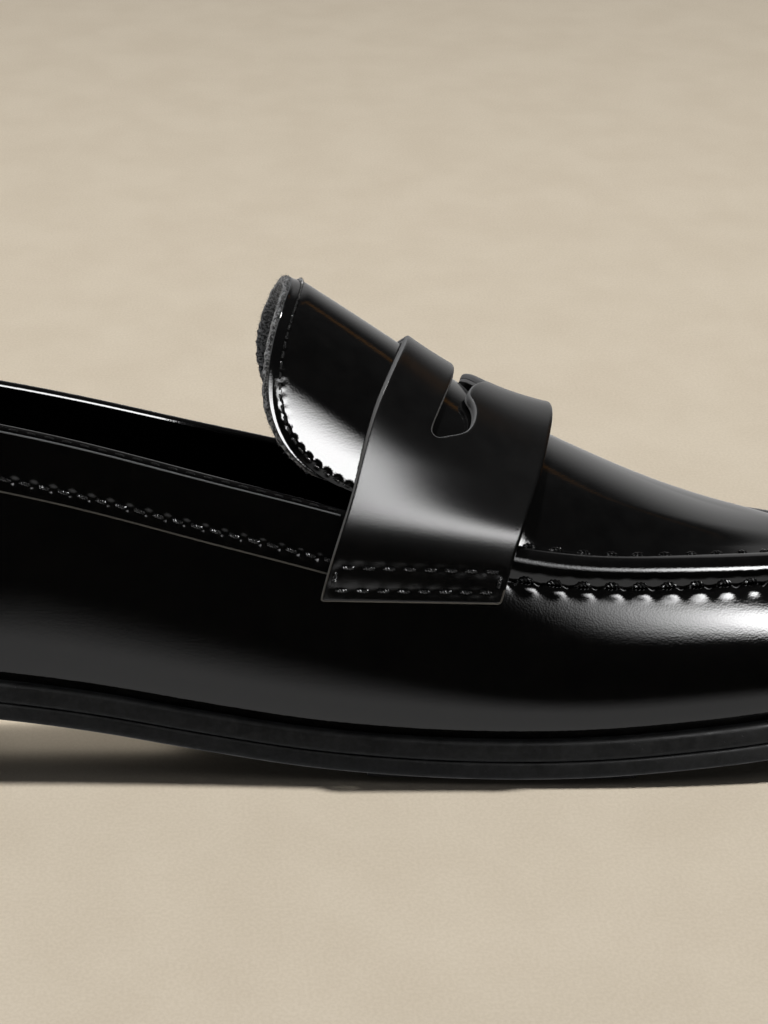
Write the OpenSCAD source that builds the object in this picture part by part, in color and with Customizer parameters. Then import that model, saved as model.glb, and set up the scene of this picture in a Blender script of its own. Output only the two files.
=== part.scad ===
// Penny loafer, left shoe, women's EU 38-39.
// Frame: +X towards the toe, +Z up, -Y the inner (medial) side, origin on the
// floor under the middle of the shoe's bounding box.  Millimetres.
// Every leather layer is an offset of the same few last curves.

/* [Size] */
// Length from the heel back to the toe tip (mm)
shoe_length = 270; // [225:1:310]
// Sideways shift that centres the shoe on its frame (mm)
side_shift = -1.645; // [-5:0.01:5]
// Lengthways shift that centres the shoe on its frame (mm)
long_shift = 0.77; // [-3:0.01:3]

/* [Sole] */
// Outsole thickness at the edge (mm)
outsole_t = 3.7; // [2:0.1:8]
// Midsole thickness at the edge (mm)
midsole_t = 4.2; // [2:0.1:8]
// Sole edge standing out beyond the upper (mm)
welt_reveal = 2.5; // [1:0.1:6]
// Rubber top lift thickness (mm)
lift_t = 5; // [3:0.5:8]
// Where the heel block ends, from the heel back (mm)
heel_breast = 61; // [50:1:70]
// Inset of the heel block at the floor (mm)
heel_taper = 1.6; // [0:0.1:4]
// Insole board thickness (mm)
insole_t = 1.9; // [1:0.1:3]
// Sock liner thickness (mm)
sock_t = 1.1; // [0.6:0.1:3]

/* [Leather] */
// Upper leather thickness (mm)
upper_t = 1.4; // [1:0.1:2.2]
// Lining leather thickness (mm)
lining_t = 0.9; // [0.6:0.1:1.6]
// Collar band thickness (mm)
band_t = 1.2; // [0.8:0.1:2]
// Collar band width (mm)
band_w = 12.4; // [8:0.2:20]
// Heel counter and toe puff thickness (mm)
stiffener_t = 1; // [0.6:0.1:2]
// Strap outer layer thickness (mm)
strap_t = 1.2; // [0.8:0.1:2]
// Strap lining thickness (mm)
strap_lining_t = 0.75; // [0.5:0.05:1.5]
// Tongue lining felt thickness (mm)
felt_t = 1.8; // [1:0.1:3]
// Lasting margin turned in under the insole (mm)
margin_w = 11; // [8:0.5:16]

/* [Seams] */
// Half width of the raised apron ridge (mm)
ridge_r = 2.6; // [1.5:0.1:4]
// Stitch pitch of the apron seam (mm)
pitch_apron = 5.5; // [3:0.1:8]
// Stitch pitch of the collar band (mm)
pitch_collar = 3.8; // [2.5:0.1:6]
// Stitch pitch of the strap ends (mm)
pitch_strap = 3.9; // [2.5:0.1:6]
// Stitch pitch round the tongue (mm)
pitch_tongue = 2.25; // [1.5:0.05:4]
// Stitch pitch of the topline (mm)
pitch_topline = 3.5; // [2:0.1:6]
// Thread radius of the coarse seams (mm)
thread_r = 0.42; // [0.2:0.01:0.8]
// Thread radius of the fine seams (mm)
fine_r = 0.26; // [0.1:0.01:0.5]

/* [Hidden] */
k = shoe_length / 270;
sole_t = outsole_t + midsole_t;
eps = 0.06;                 // clearance between glued layers
wall_bulge = 5.6;           // how far the wall's lower handle leans out
wall_low = 0.18;            // height of that handle as a share of the wall

// Last stations from the heel back to the toe tip.
// outline x, medial y, lateral y | top line x, medial y, lateral y, z | top handle out, down
ST = [
 [0,      0,    0,   5,    0,    0,   84,   4,   18],
 [4,    -14,   14,   7.5, -11.4, 12,  83.4, 4,   18],
 [14,   -24,   24.8, 17,  -18.8, 20.8,81.2, 3.8, 18],
 [32,   -29,   30.6, 34,  -22.4, 26,  77.2, 3.6, 18],
 [53,   -28.2, 31.6, 54,  -23.2, 28.4,73.3, 3,   17],
 [75,   -25.8, 31.2, 75,  -23.6, 29.8,69.5, 2.6, 16.5],
 [97,   -27.8, 31.9, 96,  -25.4, 31.2,65,   2.6, 15.5],
 [117,  -31.2, 34.6, 117, -28.2, 33.2,59.8, 2.8, 14.5],
 [137,  -35.2, 39,   137, -31.2, 35.2,55,   3.2, 13],
 [156,  -38.7, 42.9, 156, -33.6, 36.8,49.8, 3.8, 11.7],
 [176,  -41.2, 45.2, 175, -34.8, 37.4,44.2, 4.6, 11],
 [195,  -42,   44.6, 193, -34.7, 36,  41.8, 5.4, 10.4],
 [214,  -40.7, 41.2, 210, -33.1, 32.7,41.2, 6.4, 9.8],
 [231,  -37.4, 35.8, 224.5,-29.7,27.7,41,   7.4, 8.4],
 [246,  -31.2, 28.2, 236, -23.7, 20.8,40.4, 8.4, 6.6],
 [258.8,-22.2, 18.6, 243.8,-15.4,12.2,39.6, 9.2, 5],
 [267.2,-11.8, 8,    248.4,-7.6, 4.5, 39,   9.6, 4],
 [270,  -1.9,  -1.9, 249.8,-1.6, -1.6,38.8, 9.8, 3.6]];
NT = len(ST) - 1;           // station of the toe tip
NS = 2 * NT;                // stations once round

// Height of the sole's lower edge along the shoe: [x, z]
EDGE = [[-5, 14.8], [0, 14.6], [30, 13.45], [62, 12.2], [78, 10.5], [97.6, 8.1], [117, 5.2],
        [137, 2.7], [156, 1.45], [176, 1.0], [196, 1.4], [215, 2.55], [229, 3.6], [250, 5.9],
        [275, 9.4]];

// Apron and tongue sections, tongue tip to toe:
// spine x, y, z | edge x, medial y, lateral y, z | lean (deg) | edge handles
AP = [
 [136.2, 0.8, 95.8, 118,  -28.3, 30.2, 68.3, 33.6, 0.02, 0.46],
 [148.3, 0.8, 87.8, 132,  -29.3, 31.2, 62.7, 33.6, 0.02, 0.46],
 [160.4, 0.8, 79.7, 145.5,-30.7, 32.4, 57.3, 32,   0.02, 0.46],
 [172.4, 0.7, 71.6, 160.5,-32,   33.6, 51.4, 28,   0.03, 0.46],
 [184,   0.5, 64.8, 175,  -32.4, 34,   47,   21,   0.06, 0.45],
 [195.6, 0.2, 58.95,192.4,-32.1, 33.2, 44.2, 11,   0.11, 0.44],
 [207.6,-0.2, 53.5, 208.8,-30.6, 30,   43.5, 4,    0.17, 0.42],
 [218.6,-0.6, 49.4, 222.9,-27.1, 24.9, 43.1, 0,    0.24, 0.40],
 [227,  -1.0, 47.1, 233.8,-21.6, 18.8, 42.4, 0,    0.28, 0.38],
 [231.5,-1.3, 46.1, 241.1,-13.9, 11,   41.7, 0,    0.32, 0.36],
 [233,  -1.5, 45.75,245.4,-6.8,  3.8,  41.3, 0,    0.33, 0.36],
 [233.2,-1.5, 45.7, 246.6,-1.5,  -1.5, 41.2, 0,    0.33, 0.36]];
NA = len(AP) - 1;
crown_slope = -0.22;        // fall of the toe end of the spine
flap_end = 1.72;            // apron station where the free tongue starts, under the strap's rear edge
tongue_round = 2.0;         // stations taken up by the tongue's round corners

// Strap edges from the bottom end up to the crown: rear x, medial y, lateral y, z | front the same
SP = [
 [140.3,-38.1, 42.0, 36.6, 175.9,-40.6, 43.4, 36.3],
 [141.5,-38.4, 41.9, 41.2, 177.2,-39.9, 42.5, 40.5],
 [143.0,-38.4, 41.6, 46.4, 178.4,-39.0, 41.4, 44.6],
 [144.9,-37.2, 39.9, 52.2, 179.9,-37.5, 39.8, 48.9],
 [147.0,-34.6, 36.9, 58.4, 181.3,-34.8, 36.9, 52.6],
 [148.8,-31.6, 33.7, 64.4, 183.1,-30.8, 32.8, 56.4],
 [150.6,-28.2, 30.2, 69.9, 184.5,-27.2, 29.2, 59.6],
 [152.6,-24.2, 26.0, 74.7, 185.8,-22.2, 24.2, 62.6],
 [155.0,-18.7, 20.4, 78.8, 187.1,-15.6, 17.3, 65.6],
 [157.6,-9.8,  11.4, 82.2, 188.2,-8.0,  9.4,  68.1],
 [159.3, 0.8,  0.8,  83.3, 188.6, 0.7,  0.7,  69.1]];
NP = len(SP) - 1;
strap_sag = 1.9;            // how far the strap dips between its edges at the crown

// ---- curves -------------------------------------------------------------
function mix(a, b, t) = a + (b - a) * t;
function wrap(i, n) = ((i % n) + n) % n;
function smooth(e0, e1, x) = let (t = min(1, max(0, (x - e0) / (e1 - e0)))) t * t * (3 - 2 * t);
function unit(v) = v / max(norm(v), 1e-9);
// control points of the cubic B-spline that passes through P (repeated correction)
function shaped(C, closed) = let (n = len(C)) [for (i = [0 : n - 1])
    (!closed && (i == 0 || i == n - 1)) ? C[i]
    : (C[wrap(i - 1, n)] + 4 * C[i] + C[wrap(i + 1, n)]) / 6];
function fit(P, closed, C, n = 14) = n == 0 ? C : let (S = shaped(C, closed))
    fit(P, closed, [for (i = [0 : len(P) - 1]) C[i] + (P[i] - S[i]) * 1.25], n - 1);
function basis(a, b, c, d, t) = (pow(1 - t, 3) * a + (3 * pow(t, 3) - 6 * t * t + 4) * b
    + (-3 * pow(t, 3) + 3 * t * t + 3 * t + 1) * c + pow(t, 3) * d) / 6;
function on_ring(C, u) = let (n = len(C), i = floor(u), t = u - i)
    basis(C[wrap(i - 1, n)], C[wrap(i, n)], C[wrap(i + 1, n)], C[wrap(i + 2, n)], t);
function on_line(C, u) = let (n = len(C), v = min(n - 1, max(0, u)), i = min(n - 2, floor(v)), t = v - i,
    a = i == 0 ? 2 * C[0] - C[1] : C[i - 1], d = i == n - 2 ? 2 * C[n - 1] - C[n - 2] : C[i + 2])
    basis(a, C[i], C[i + 1], d, t);
function edge_slope(i) = let (n = len(EDGE), a = EDGE[max(0, i - 1)], b = EDGE[min(n - 1, i + 1)])
    (b[1] - a[1]) / (b[0] - a[0]);
function edge_at(x, i = 0) = (i < len(EDGE) - 2 && EDGE[i + 1][0] <= x) ? edge_at(x, i + 1)
    : let (h = EDGE[i + 1][0] - EDGE[i][0], t = min(1, max(0, (x - EDGE[i][0]) / h)), t2 = t * t, t3 = t2 * t)
      (2 * t3 - 3 * t2 + 1) * EDGE[i][1] + (t3 - 2 * t2 + t) * h * edge_slope(i)
      + (3 * t2 - 2 * t3) * EDGE[i + 1][1] + (t3 - t2) * h * edge_slope(i + 1);
// once round the last: medial stations, then the lateral ones back to the heel
function ring_of(m, l) = let (P = concat([for (r = ST) [for (j = m) r[j]]],
    [for (i = [NT - 1 : -1 : 1]) [for (j = l) ST[i][j]]])) fit(P, true, P);
OUT = ring_of([0, 1], [0, 2]);
TOP = ring_of([3, 4, 6], [3, 5, 6]);
HAN = ring_of([7, 8], [7, 8]);
APC = fit(AP, false, AP);
SPP = concat([for (r = SP) [r[0], r[1], r[3], r[4], r[5], r[7]]],
             [for (i = [NP - 1 : -1 : 0]) let (r = SP[i]) [r[0], r[2], r[3], r[4], r[6], r[7]]]);
SPC = fit(SPP, false, SPP);

function outline(u) = on_ring(OUT, u);
function out_dir(u) = let (d = on_ring(OUT, u + 0.01) - on_ring(OUT, u - 0.01)) unit([d[1], -d[0]]);
function sole_top(x) = edge_at(x) + sole_t;
// a point inside the outline by inset, raised h above the sole's lower edge
function rim(u, inset, h) = let (p = outline(u) - out_dir(u) * inset) [p[0], p[1], edge_at(p[0]) + h];
// outer face of the side wall: w 0 at the feather edge, 1 at the top line
function wall(u, w) = let (B = rim(u, welt_reveal, sole_t), T = on_ring(TOP, u), n = out_dir(u),
    h = on_ring(HAN, u), N = [n[0], n[1], 0], H = T[2] - B[2],
    P1 = B + N * wall_bulge + [0, 0, wall_low * H], P2 = T + N * h[0] - [0, 0, h[1]], v = 1 - w)
    v * v * v * B + 3 * v * v * w * P1 + 3 * v * w * w * P2 + w * w * w * T;
function wall_out(u, w) = let (a = wall(u + 0.02, w) - wall(u - 0.02, w),
    b = wall(u, min(1, w + 0.01)) - wall(u, max(0, w - 0.01))) unit(cross(a, b));
function wall_off(u, w, d) = wall(u, w) + wall_out(u, w) * d;
// outer face of the apron and tongue: a -1 medial edge, 0 spine, 1 lateral edge
function apron_at(v, a) = let (q = on_line(APC, v), C = [q[0], q[1], q[2]],
    E = [q[3], a < 0 ? q[4] : q[5], q[6]], t = abs(a), s = 1 - t, tau = [-sin(q[7]), 0, -cos(q[7])],
    drop = (C[2] - E[2]) / cos(q[7]), r = E - C - tau * drop, f = [r[0], r[1], 0],
    P1 = C + 0.6 * f + [0, 0, crown_slope * 0.6 * f[0]], P2 = E - q[8] * f - q[9] * drop * tau)
    s * s * s * C + 3 * s * s * t * P1 + 3 * s * t * t * P2 + t * t * t * E;
function apron_out(v, a) = let (e = a < 0 ? -1 : 1, b = min(abs(a), 0.985) * e, g = max(abs(b), 0.02),
    p = apron_at(v + 0.02, b) - apron_at(v - 0.02, b), c = apron_at(v, e * (g + 0.015)) - apron_at(v, e * (g - 0.015)),
    n = unit(cross(p, c))) (n[2] < 0 ? -n : n);
function apron_off(v, a, d) = apron_at(v, a) + apron_out(v, a) * d;
// outer face of the strap: p 0 medial end, NP crown, 2 NP lateral end; b 0 rear edge, 1 front edge
// the strap sags a little between its edges where it crosses the instep
function strap_at(p, b) = let (q = on_line(SPC, p), s = cos(90 * min(1, abs(p - NP) / 6.5)))
    mix([q[0], q[1], q[2]], [q[3], q[4], q[5]], b) - [0, 0, strap_sag * 4 * b * (1 - b) * s * s];
function strap_out(p, b) = unit(cross(strap_at(p, 1) - strap_at(p, 0), strap_at(p + 0.05, b) - strap_at(p - 0.05, b)));
function strap_off(p, b, d) = strap_at(p, b) - strap_out(p, b) * d;

// ---- solids -------------------------------------------------------------
// closed shell between two grids of points, grid[i][j]; round = first and last i are neighbours
module shell(A, B, round = false) {
  n = len(A); m = len(A[0]); e = round ? n : n - 1;
  function a(i, j) = (i % n) * m + j;
  function b(i, j) = n * m + (i % n) * m + j;
  polyhedron(concat([for (r = A) for (p = r) p], [for (r = B) for (p = r) p]), concat(
    [for (i = [0 : e - 1]) for (j = [0 : m - 2]) for (f = [[a(i, j), a(i, j + 1), a(i + 1, j + 1)],
      [a(i, j), a(i + 1, j + 1), a(i + 1, j)], [b(i, j), b(i + 1, j + 1), b(i, j + 1)],
      [b(i, j), b(i + 1, j), b(i + 1, j + 1)]]) f],
    [for (i = [0 : e - 1]) for (f = [[a(i, 0), a(i + 1, 0), b(i + 1, 0)], [a(i, 0), b(i + 1, 0), b(i, 0)],
      [a(i, m - 1), b(i + 1, m - 1), a(i + 1, m - 1)], [a(i, m - 1), b(i, m - 1), b(i + 1, m - 1)]]) f],
    round ? [] : [for (j = [0 : m - 2]) for (f = [[a(0, j), b(0, j), b(0, j + 1)],
      [a(0, j), b(0, j + 1), a(0, j + 1)], [a(n - 1, j), b(n - 1, j + 1), b(n - 1, j)],
      [a(n - 1, j), a(n - 1, j + 1), b(n - 1, j + 1)]]) f]));
}
// stack of rings, bottom first; ring point i faces point n - i across the shoe
module stack(R) {
  n = len(R[0]); m = len(R); h = n / 2;
  function a(j, i) = j * n + (i + n) % n;
  polyhedron([for (r = R) for (p = r) p], concat(
    [for (j = [0 : m - 2]) for (i = [0 : n - 1]) for (f = [[a(j, i), a(j + 1, i), a(j + 1, i + 1)],
      [a(j, i), a(j + 1, i + 1), a(j, i + 1)]]) f],
    [[a(0, 0), a(0, 1), a(0, n - 1)]], [[a(m - 1, 0), a(m - 1, n - 1), a(m - 1, 1)]],
    [for (i = [1 : h - 2]) for (f = [[a(0, i), a(0, i + 1), a(0, n - i - 1)], [a(0, i), a(0, n - i - 1), a(0, n - i)],
      [a(m - 1, i), a(m - 1, n - i - 1), a(m - 1, i + 1)], [a(m - 1, i), a(m - 1, n - i), a(m - 1, n - i - 1)]]) f],
    [[a(0, h - 1), a(0, h), a(0, h + 1)]], [[a(m - 1, h - 1), a(m - 1, h + 1), a(m - 1, h)]]));
}
function around(step) = [for (u = [0 : step : NS - step / 2]) u];
function ring_at(us, inset, h) = [for (u = us) rim(u, inset, h)];
module placed() { scale(k) translate([-135 + long_shift, side_shift, 0]) children(); }

// points every pitch along a polyline, with the step to the next one
function dists(P, i = 0, s = 0) = i == len(P) ? [] : concat([s], dists(P, i + 1,
    i < len(P) - 1 ? s + norm(P[i + 1] - P[i]) : s));
function along(P, pitch) = let (D = dists(P), L = D[len(D) - 1], n = max(1, round(L / pitch)),
    X = [for (i = [0 : len(P) - 1]) [D[i], P[i][0]]], Y = [for (i = [0 : len(P) - 1]) [D[i], P[i][1]]],
    Z = [for (i = [0 : len(P) - 1]) [D[i], P[i][2]]])
    [for (i = [0 : n]) let (s = L * i / n) [lookup(s, X), lookup(s, Y), lookup(s, Z)]];
// one stitch: a short bar from p to q
module bar(p, q, r) {
  d = q - p; l = norm(d);
  translate(p) rotate([0, acos(d[2] / l), atan2(d[1], d[0])]) rotate([0, 0, 45]) cylinder(h = l, r = r, $fn = 4);
}
module seam(P, pitch, r, gap) {
  Q = along(P, pitch);
  for (i = [0 : len(Q) - 2]) bar(mix(Q[i], Q[i + 1], gap / 2), mix(Q[i], Q[i + 1], 1 - gap / 2), r);
}

// ---- sole ---------------------------------------------------------------
SOLE_U = around(0.5);
module sole_layer(h0, h1, c) {
  stack([ring_at(SOLE_U, 0.7, h0), ring_at(SOLE_U, 0.15, h0 + c), ring_at(SOLE_U, 0, (h0 + h1) / 2),
         ring_at(SOLE_U, 0.15, h1 - c), ring_at(SOLE_U, 0.6, h1)]);
}
// forepart of the outline between two lengths, as a plan polygon
module forepart(x0, x1, inset) {
  polygon([for (u = around(0.25)) let (p = rim(u, inset, 0)) if (p[0] >= x0 && p[0] <= x1) [p[0], p[1]]]);
}
tread_x0 = 150; tread_x1 = 203; tread_h = 2.2;
module outsole() color("#1b1b1c") placed() difference() {
  sole_layer(0, outsole_t - eps, 0.7);
  translate([0, 0, -5]) linear_extrude(5 + tread_h + eps) forepart(tread_x0, tread_x1, 6 - eps);
}
module tread_insert() color("#161616") placed() linear_extrude(tread_h) forepart(tread_x0, tread_x1, 6);
module midsole() color("#202021") placed() sole_layer(outsole_t, sole_t, 0.6);

// plan ring of the heel: back, medial side, breast, lateral side
HEEL_U = [0, 0.5, 1, 1.5, 2, 2.5, 3, 3.5, 4, 4.35];
function heel_ring(inset, h) = let (m = [for (u = HEEL_U) rim(u, inset, h)],
    l = [for (i = [len(HEEL_U) - 1 : -1 : 1]) rim(NS - HEEL_U[i], inset, h)],
    c = (m[len(m) - 1] + l[0]) / 2 - [2.5, 0, 0]) concat(m, [[c[0], c[1], edge_at(c[0]) + h]], l);
function flat(R, z) = [for (p = R) [p[0], p[1], z]];
module heel_block() color("#1a1a1b") placed()
  stack([flat(heel_ring(heel_taper, 0), lift_t + eps), heel_ring(0.8, -3), heel_ring(0.6, -eps)]);
module heel_top_lift() color("#141414") placed()
  linear_extrude(lift_t) polygon([for (p = heel_ring(heel_taper, 0)) [p[0], p[1]]]);
module heel_nails() color("#9a9a96") placed()
  for (p = [[14, 0], [26, -15], [26, 16], [46, -15], [46, 16]]) translate([p[0], p[1], 2.5]) cylinder(h = 8, r = 0.9, $fn = 24);
function shank_edge(h) = [for (x = [46 : 6 : 130]) [[x, -6, sole_top(x) + h], [x, 6, sole_top(x) + h]]];
module shank() color("#8d8f92") placed() shell(shank_edge(0.1 + 1.2), shank_edge(0.1));
FILL_U = [for (u = [8.7 : 0.4 : NS - 8.7 + 0.01]) u];
function fill_side(h, i) = rim(FILL_U[i], welt_reveal + margin_w + 0.4, sole_t + h);
function fill_rows(h) = let (n = len(FILL_U)) [for (i = [0 : floor(n / 2) - 2]) [fill_side(h, i), fill_side(h, n - 1 - i)]];
module cork_filler() color("#8a6a45") placed() shell(fill_rows(1.35), fill_rows(0.1));
module insole_board() color("#7d6a52") placed()
  stack([ring_at(SOLE_U, welt_reveal + 2.9, sole_t + upper_t + eps), ring_at(SOLE_U, welt_reveal + 2.6, sole_t + upper_t + eps + insole_t)]);
module sock_liner() color("#191919") placed()
  stack([ring_at(SOLE_U, welt_reveal + 3.2, sole_t + upper_t + 2 * eps + insole_t),
         ring_at(SOLE_U, welt_reveal + 3.2, sole_t + upper_t + 2 * eps + insole_t + sock_t)]);
pad_h = sole_t + upper_t + 3 * eps + insole_t + sock_t;
module heel_pad() color("#1d1d1d") placed() stack([heel_ring(7.5, pad_h), heel_ring(8.3, pad_h + 1.8)]);

// ---- upper --------------------------------------------------------------
WALL_U = around(0.5);
WALL_W = [0.05, 0.16, 0.3, 0.45, 0.6, 0.73, 0.86, 1];
module side_wall() color("#0c0c0d") placed() shell(
  [for (u = WALL_U) concat([rim(u, welt_reveal + margin_w, sole_t + eps), rim(u, welt_reveal + 0.7, sole_t + eps)],
    [for (w = WALL_W) wall(u, w)])],
  [for (u = WALL_U) concat([rim(u, welt_reveal + margin_w, sole_t + upper_t), rim(u, welt_reveal + 2.2, sole_t + upper_t)],
    [for (w = WALL_W) wall_off(u, w, -upper_t)])], true);

// the linings stand off the wall where a stiffener lies between
function stiff(u, w) = let (v = min(wrap(u, NS), NS - wrap(u, NS)))
    (1 - smooth(0.74, 0.86, w)) * max(1 - smooth(3.6, 4.3, v), smooth(14.2, 14.9, v));
function inside(u, w, d) = wall_off(u, w, -(upper_t + eps + stiff(u, w) * (stiffener_t + eps) + d));
COUNTER_U = [for (u = [-3.5 : 0.5 : 3.5]) u];
STIFF_W = [0.16, 0.3, 0.45, 0.6, 0.73];
module heel_counter() color("#5b4d3c") placed() shell(
  [for (u = COUNTER_U) [for (w = STIFF_W) wall_off(u, w, -(upper_t + eps))]],
  [for (u = COUNTER_U) [for (w = STIFF_W) wall_off(u, w, -(upper_t + eps + stiffener_t))]]);
PUFF_U = [for (u = [15 : 0.5 : NS - 15]) u];
module toe_puff() color("#5b4d3c") placed() shell(
  [for (u = PUFF_U) [for (w = STIFF_W) wall_off(u, w, -(upper_t + eps))]],
  [for (u = PUFF_U) [for (w = STIFF_W) wall_off(u, w, -(upper_t + eps + stiffener_t))]]);
LINE_W = [0.16, 0.3, 0.45, 0.6, 0.73, 0.86, 1];
lining_rise = 0.7;
function lift_top(u, w) = w > 0.99 ? unit(wall(u, 1) - wall(u, 0.95)) * lining_rise : [0, 0, 0];
QUARTER_U = [for (u = [-9.5 : 0.5 : 9.5]) u];
module quarter_lining() color("#0d0d0e") placed() shell(
  [for (u = QUARTER_U) [for (w = LINE_W) inside(u, w, 0) + lift_top(u, w)]],
  [for (u = QUARTER_U) [for (w = LINE_W) inside(u, w, lining_t) + lift_top(u, w)]]);
VAMP_W = [0.16, 0.3, 0.45, 0.6, 0.73, 0.86, 0.95];
VAMP_U = concat([9.6], [for (u = [10 : 0.5 : NS - 9.99]) u], [NS - 9.6]);
module vamp_lining() color("#101011") placed() shell(
  [for (u = VAMP_U) [for (w = VAMP_W) inside(u, w, 0)]],
  [for (u = VAMP_U) [for (w = VAMP_W) inside(u, w, lining_t)]]);

// share of the wall height the collar band covers, measured along the surface
function band_w0(u) = 1 - band_w / norm(wall(u, 1) - wall(u, 0.75)) * 0.25;
BAND_U = [for (u = [-8.4 : 0.4 : 8.41]) u];
band_clear = 0.1;
module collar_band() color("#0e0e0f") placed() shell(
  [for (u = BAND_U) [for (t = [0, 0.33, 0.67, 1]) wall_off(u, mix(band_w0(u), 0.997, t), band_t + band_clear)]],
  [for (u = BAND_U) [for (t = [0, 0.33, 0.67, 1]) wall_off(u, mix(band_w0(u), 0.997, t), band_clear)]]);
STAY_U = [for (u = [-0.6 : 0.3 : 0.61]) u];
module back_stay() color("#0e0e0f") placed() shell(
  [for (u = STAY_U) [for (t = [0 : 0.2 : 1]) wall_off(u, mix(0.06, band_w0(u) - 0.02, t), band_t + band_clear)]],
  [for (u = STAY_U) [for (t = [0 : 0.2 : 1]) wall_off(u, mix(0.06, band_w0(u) - 0.02, t), band_clear)]]);

ACROSS = [for (i = [-8 : 8]) sin(90 * i / 8)];
APRON_V = concat([for (v = [flap_end + 0.03 : 0.5 : 9]) v], [9.6, 10.1, 10.55, 10.9]);
module apron() color("#0c0c0d") placed() shell(
  [for (v = APRON_V) [for (a = ACROSS) apron_at(v, a)]],
  [for (v = APRON_V) [for (a = ACROSS) apron_off(v, a, -upper_t)]]);
LIN_V = [for (i = [0 : len(APRON_V) - 2]) APRON_V[i]];
LIN_A = [for (i = [1 : len(ACROSS) - 2]) ACROSS[i]];
module apron_lining() color("#101011") placed() shell(
  [for (v = LIN_V) [for (a = LIN_A) apron_off(v, a, -upper_t - eps)]],
  [for (v = LIN_V) [for (a = LIN_A) apron_off(v, a, -upper_t - eps - lining_t)]]);
// free tongue: runs from its round end to the flex line under the strap
function flap_start(a) = tongue_round * (1 - pow(1 - pow(abs(a), 3), 0.476));
TONGUE_A = [for (i = [-9 : 9]) 0.985 * sin(90 * i / 9)];
function flap_v(a, t) = let (s = min(flap_start(a), flap_end - 0.12)) mix(s, flap_end, t);
module tongue() color("#0c0c0d") placed() shell(
  [for (t = [0 : 0.2 : 1]) [for (a = TONGUE_A) apron_at(flap_v(a, t), a)]],
  [for (t = [0 : 0.2 : 1]) [for (a = TONGUE_A) apron_off(flap_v(a, t), a, -upper_t)]]);
module tongue_lining() color("#3a3b3d") placed() shell(
  [for (t = [0 : 0.2 : 1]) [for (a = TONGUE_A) apron_off(flap_v(a, t), a, -upper_t - eps)]],
  [for (t = [0 : 0.2 : 1]) [for (a = TONGUE_A) apron_off(flap_v(a, t), a, -upper_t - eps - felt_t)]]);

// raised roll that covers the joint of apron and wall
function apron_v(u) = let (s = min(u, NS - u)) mix(4, NA, (s - 10) / (NT - 10));
RIDGE_U = [for (u = [9.9 : 0.35 : NS - 9.89]) u];
function ridge_mid(u) = let (T = on_ring(TOP, u), n = out_dir(u)) T - [n[0], n[1], 0] * 0.4 + [0, 0, 1.5];
function ridge_ring(u) = let (c = ridge_mid(u), n = out_dir(u), N = [n[0], n[1], 0], Z = [0, 0, 1],
    lean = 38) [for (a = [0 : 45 : 315]) c + (N * cos(a) + Z * sin(a)) * (ridge_r * (a > lean + 180 || a < lean ? 0.8 : 0.9))];
module rope(R) {
  n = len(R); m = len(R[0]);
  function a(i, j) = i * m + (j + m) % m;
  polyhedron([for (r = R) for (p = r) p], concat(
    [for (i = [0 : n - 2]) for (j = [0 : m - 1]) for (f = [[a(i, j), a(i, j + 1), a(i + 1, j + 1)],
      [a(i, j), a(i + 1, j + 1), a(i + 1, j)]]) f],
    [for (j = [1 : m - 2]) [a(0, 0), a(0, j + 1), a(0, j)]],
    [for (j = [1 : m - 2]) [a(n - 1, 0), a(n - 1, j), a(n - 1, j + 1)]]));
}
module apron_ridge() color("#0c0c0d") placed() rope([for (u = RIDGE_U) ridge_ring(u)]);

// ---- strap --------------------------------------------------------------
STRAP_P = [for (p = [0 : 0.8 : 2 * NP]) p];
STRAP_B = [0, 0.2, 0.4, 0.6, 0.8, 1];
// penny slot, one half: a nearly straight rear side, and a front side with a lobe, a nose and a central notch
SLOT = [[-3.7, 0], [-4, 8.8], [-4.6, 16.6], [-5, 22], [-5.1, 25.2], [-4.5, 26.3], [-3.3, 26.4], [-1.2, 25.2],
        [1, 23.5], [1.95, 21.3], [2.1, 18.8], [1.8, 16.4], [1, 14.3], [0.1, 12.9], [-0.25, 11.3], [-0.1, 9.4],
        [0.5, 6.6], [1.6, 3], [2.8, 0]];
module slot_cut() {
  translate([172.6, 0.8, 76]) rotate([0, 27, 0]) translate([0, 0, -12]) linear_extrude(24)
    polygon(concat([for (q = SLOT) q], [for (i = [len(SLOT) - 2 : -1 : 1]) [SLOT[i][0], -SLOT[i][1]]]));
}
module strap_layer(d0, d1) difference() {
  shell([for (p = STRAP_P) [for (b = STRAP_B) strap_off(p, b, d1)]], [for (p = STRAP_P) [for (b = STRAP_B) strap_off(p, b, d0)]]);
  slot_cut();
}
module strap() color("#0d0d0e") placed() strap_layer(0, strap_t);
module strap_lining() color("#2a2a2b") placed() strap_layer(strap_t + 0.03, strap_t + 0.03 + strap_lining_t);

// ---- seams --------------------------------------------------------------
SEAM_U = [for (u = [10 : 0.25 : NS - 10]) u];
module apron_stitches_upper() color("#111112") placed()
  seam([for (u = SEAM_U) let (n = out_dir(u)) ridge_mid(u) - [n[0], n[1], 0] * (ridge_r + 0.3) + [0, 0, 1.3]], pitch_apron, thread_r, 0.3);
module apron_stitches_lower() color("#111112") placed()
  seam([for (u = [10.35 : 0.25 : NS - 10.3]) let (n = out_dir(u)) ridge_mid(u) + [n[0], n[1], 0] * (ridge_r + 0.3) - [0, 0, 2.4]], pitch_apron, thread_r, 0.3);
module collar_stitches() color("#111112") placed()
  seam([for (u = [-8.2 : 0.4 : 8.21]) wall_off(u, band_w0(u) + 0.06, band_t + band_clear + 0.2)], pitch_collar, thread_r, 0.25);
module topline_stitches() color("#111112") placed()
  seam([for (u = [-8.2 : 0.4 : 8.21]) wall_off(u, 0.96, band_t + band_clear + 0.1)], pitch_topline, fine_r, 0.3);
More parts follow.
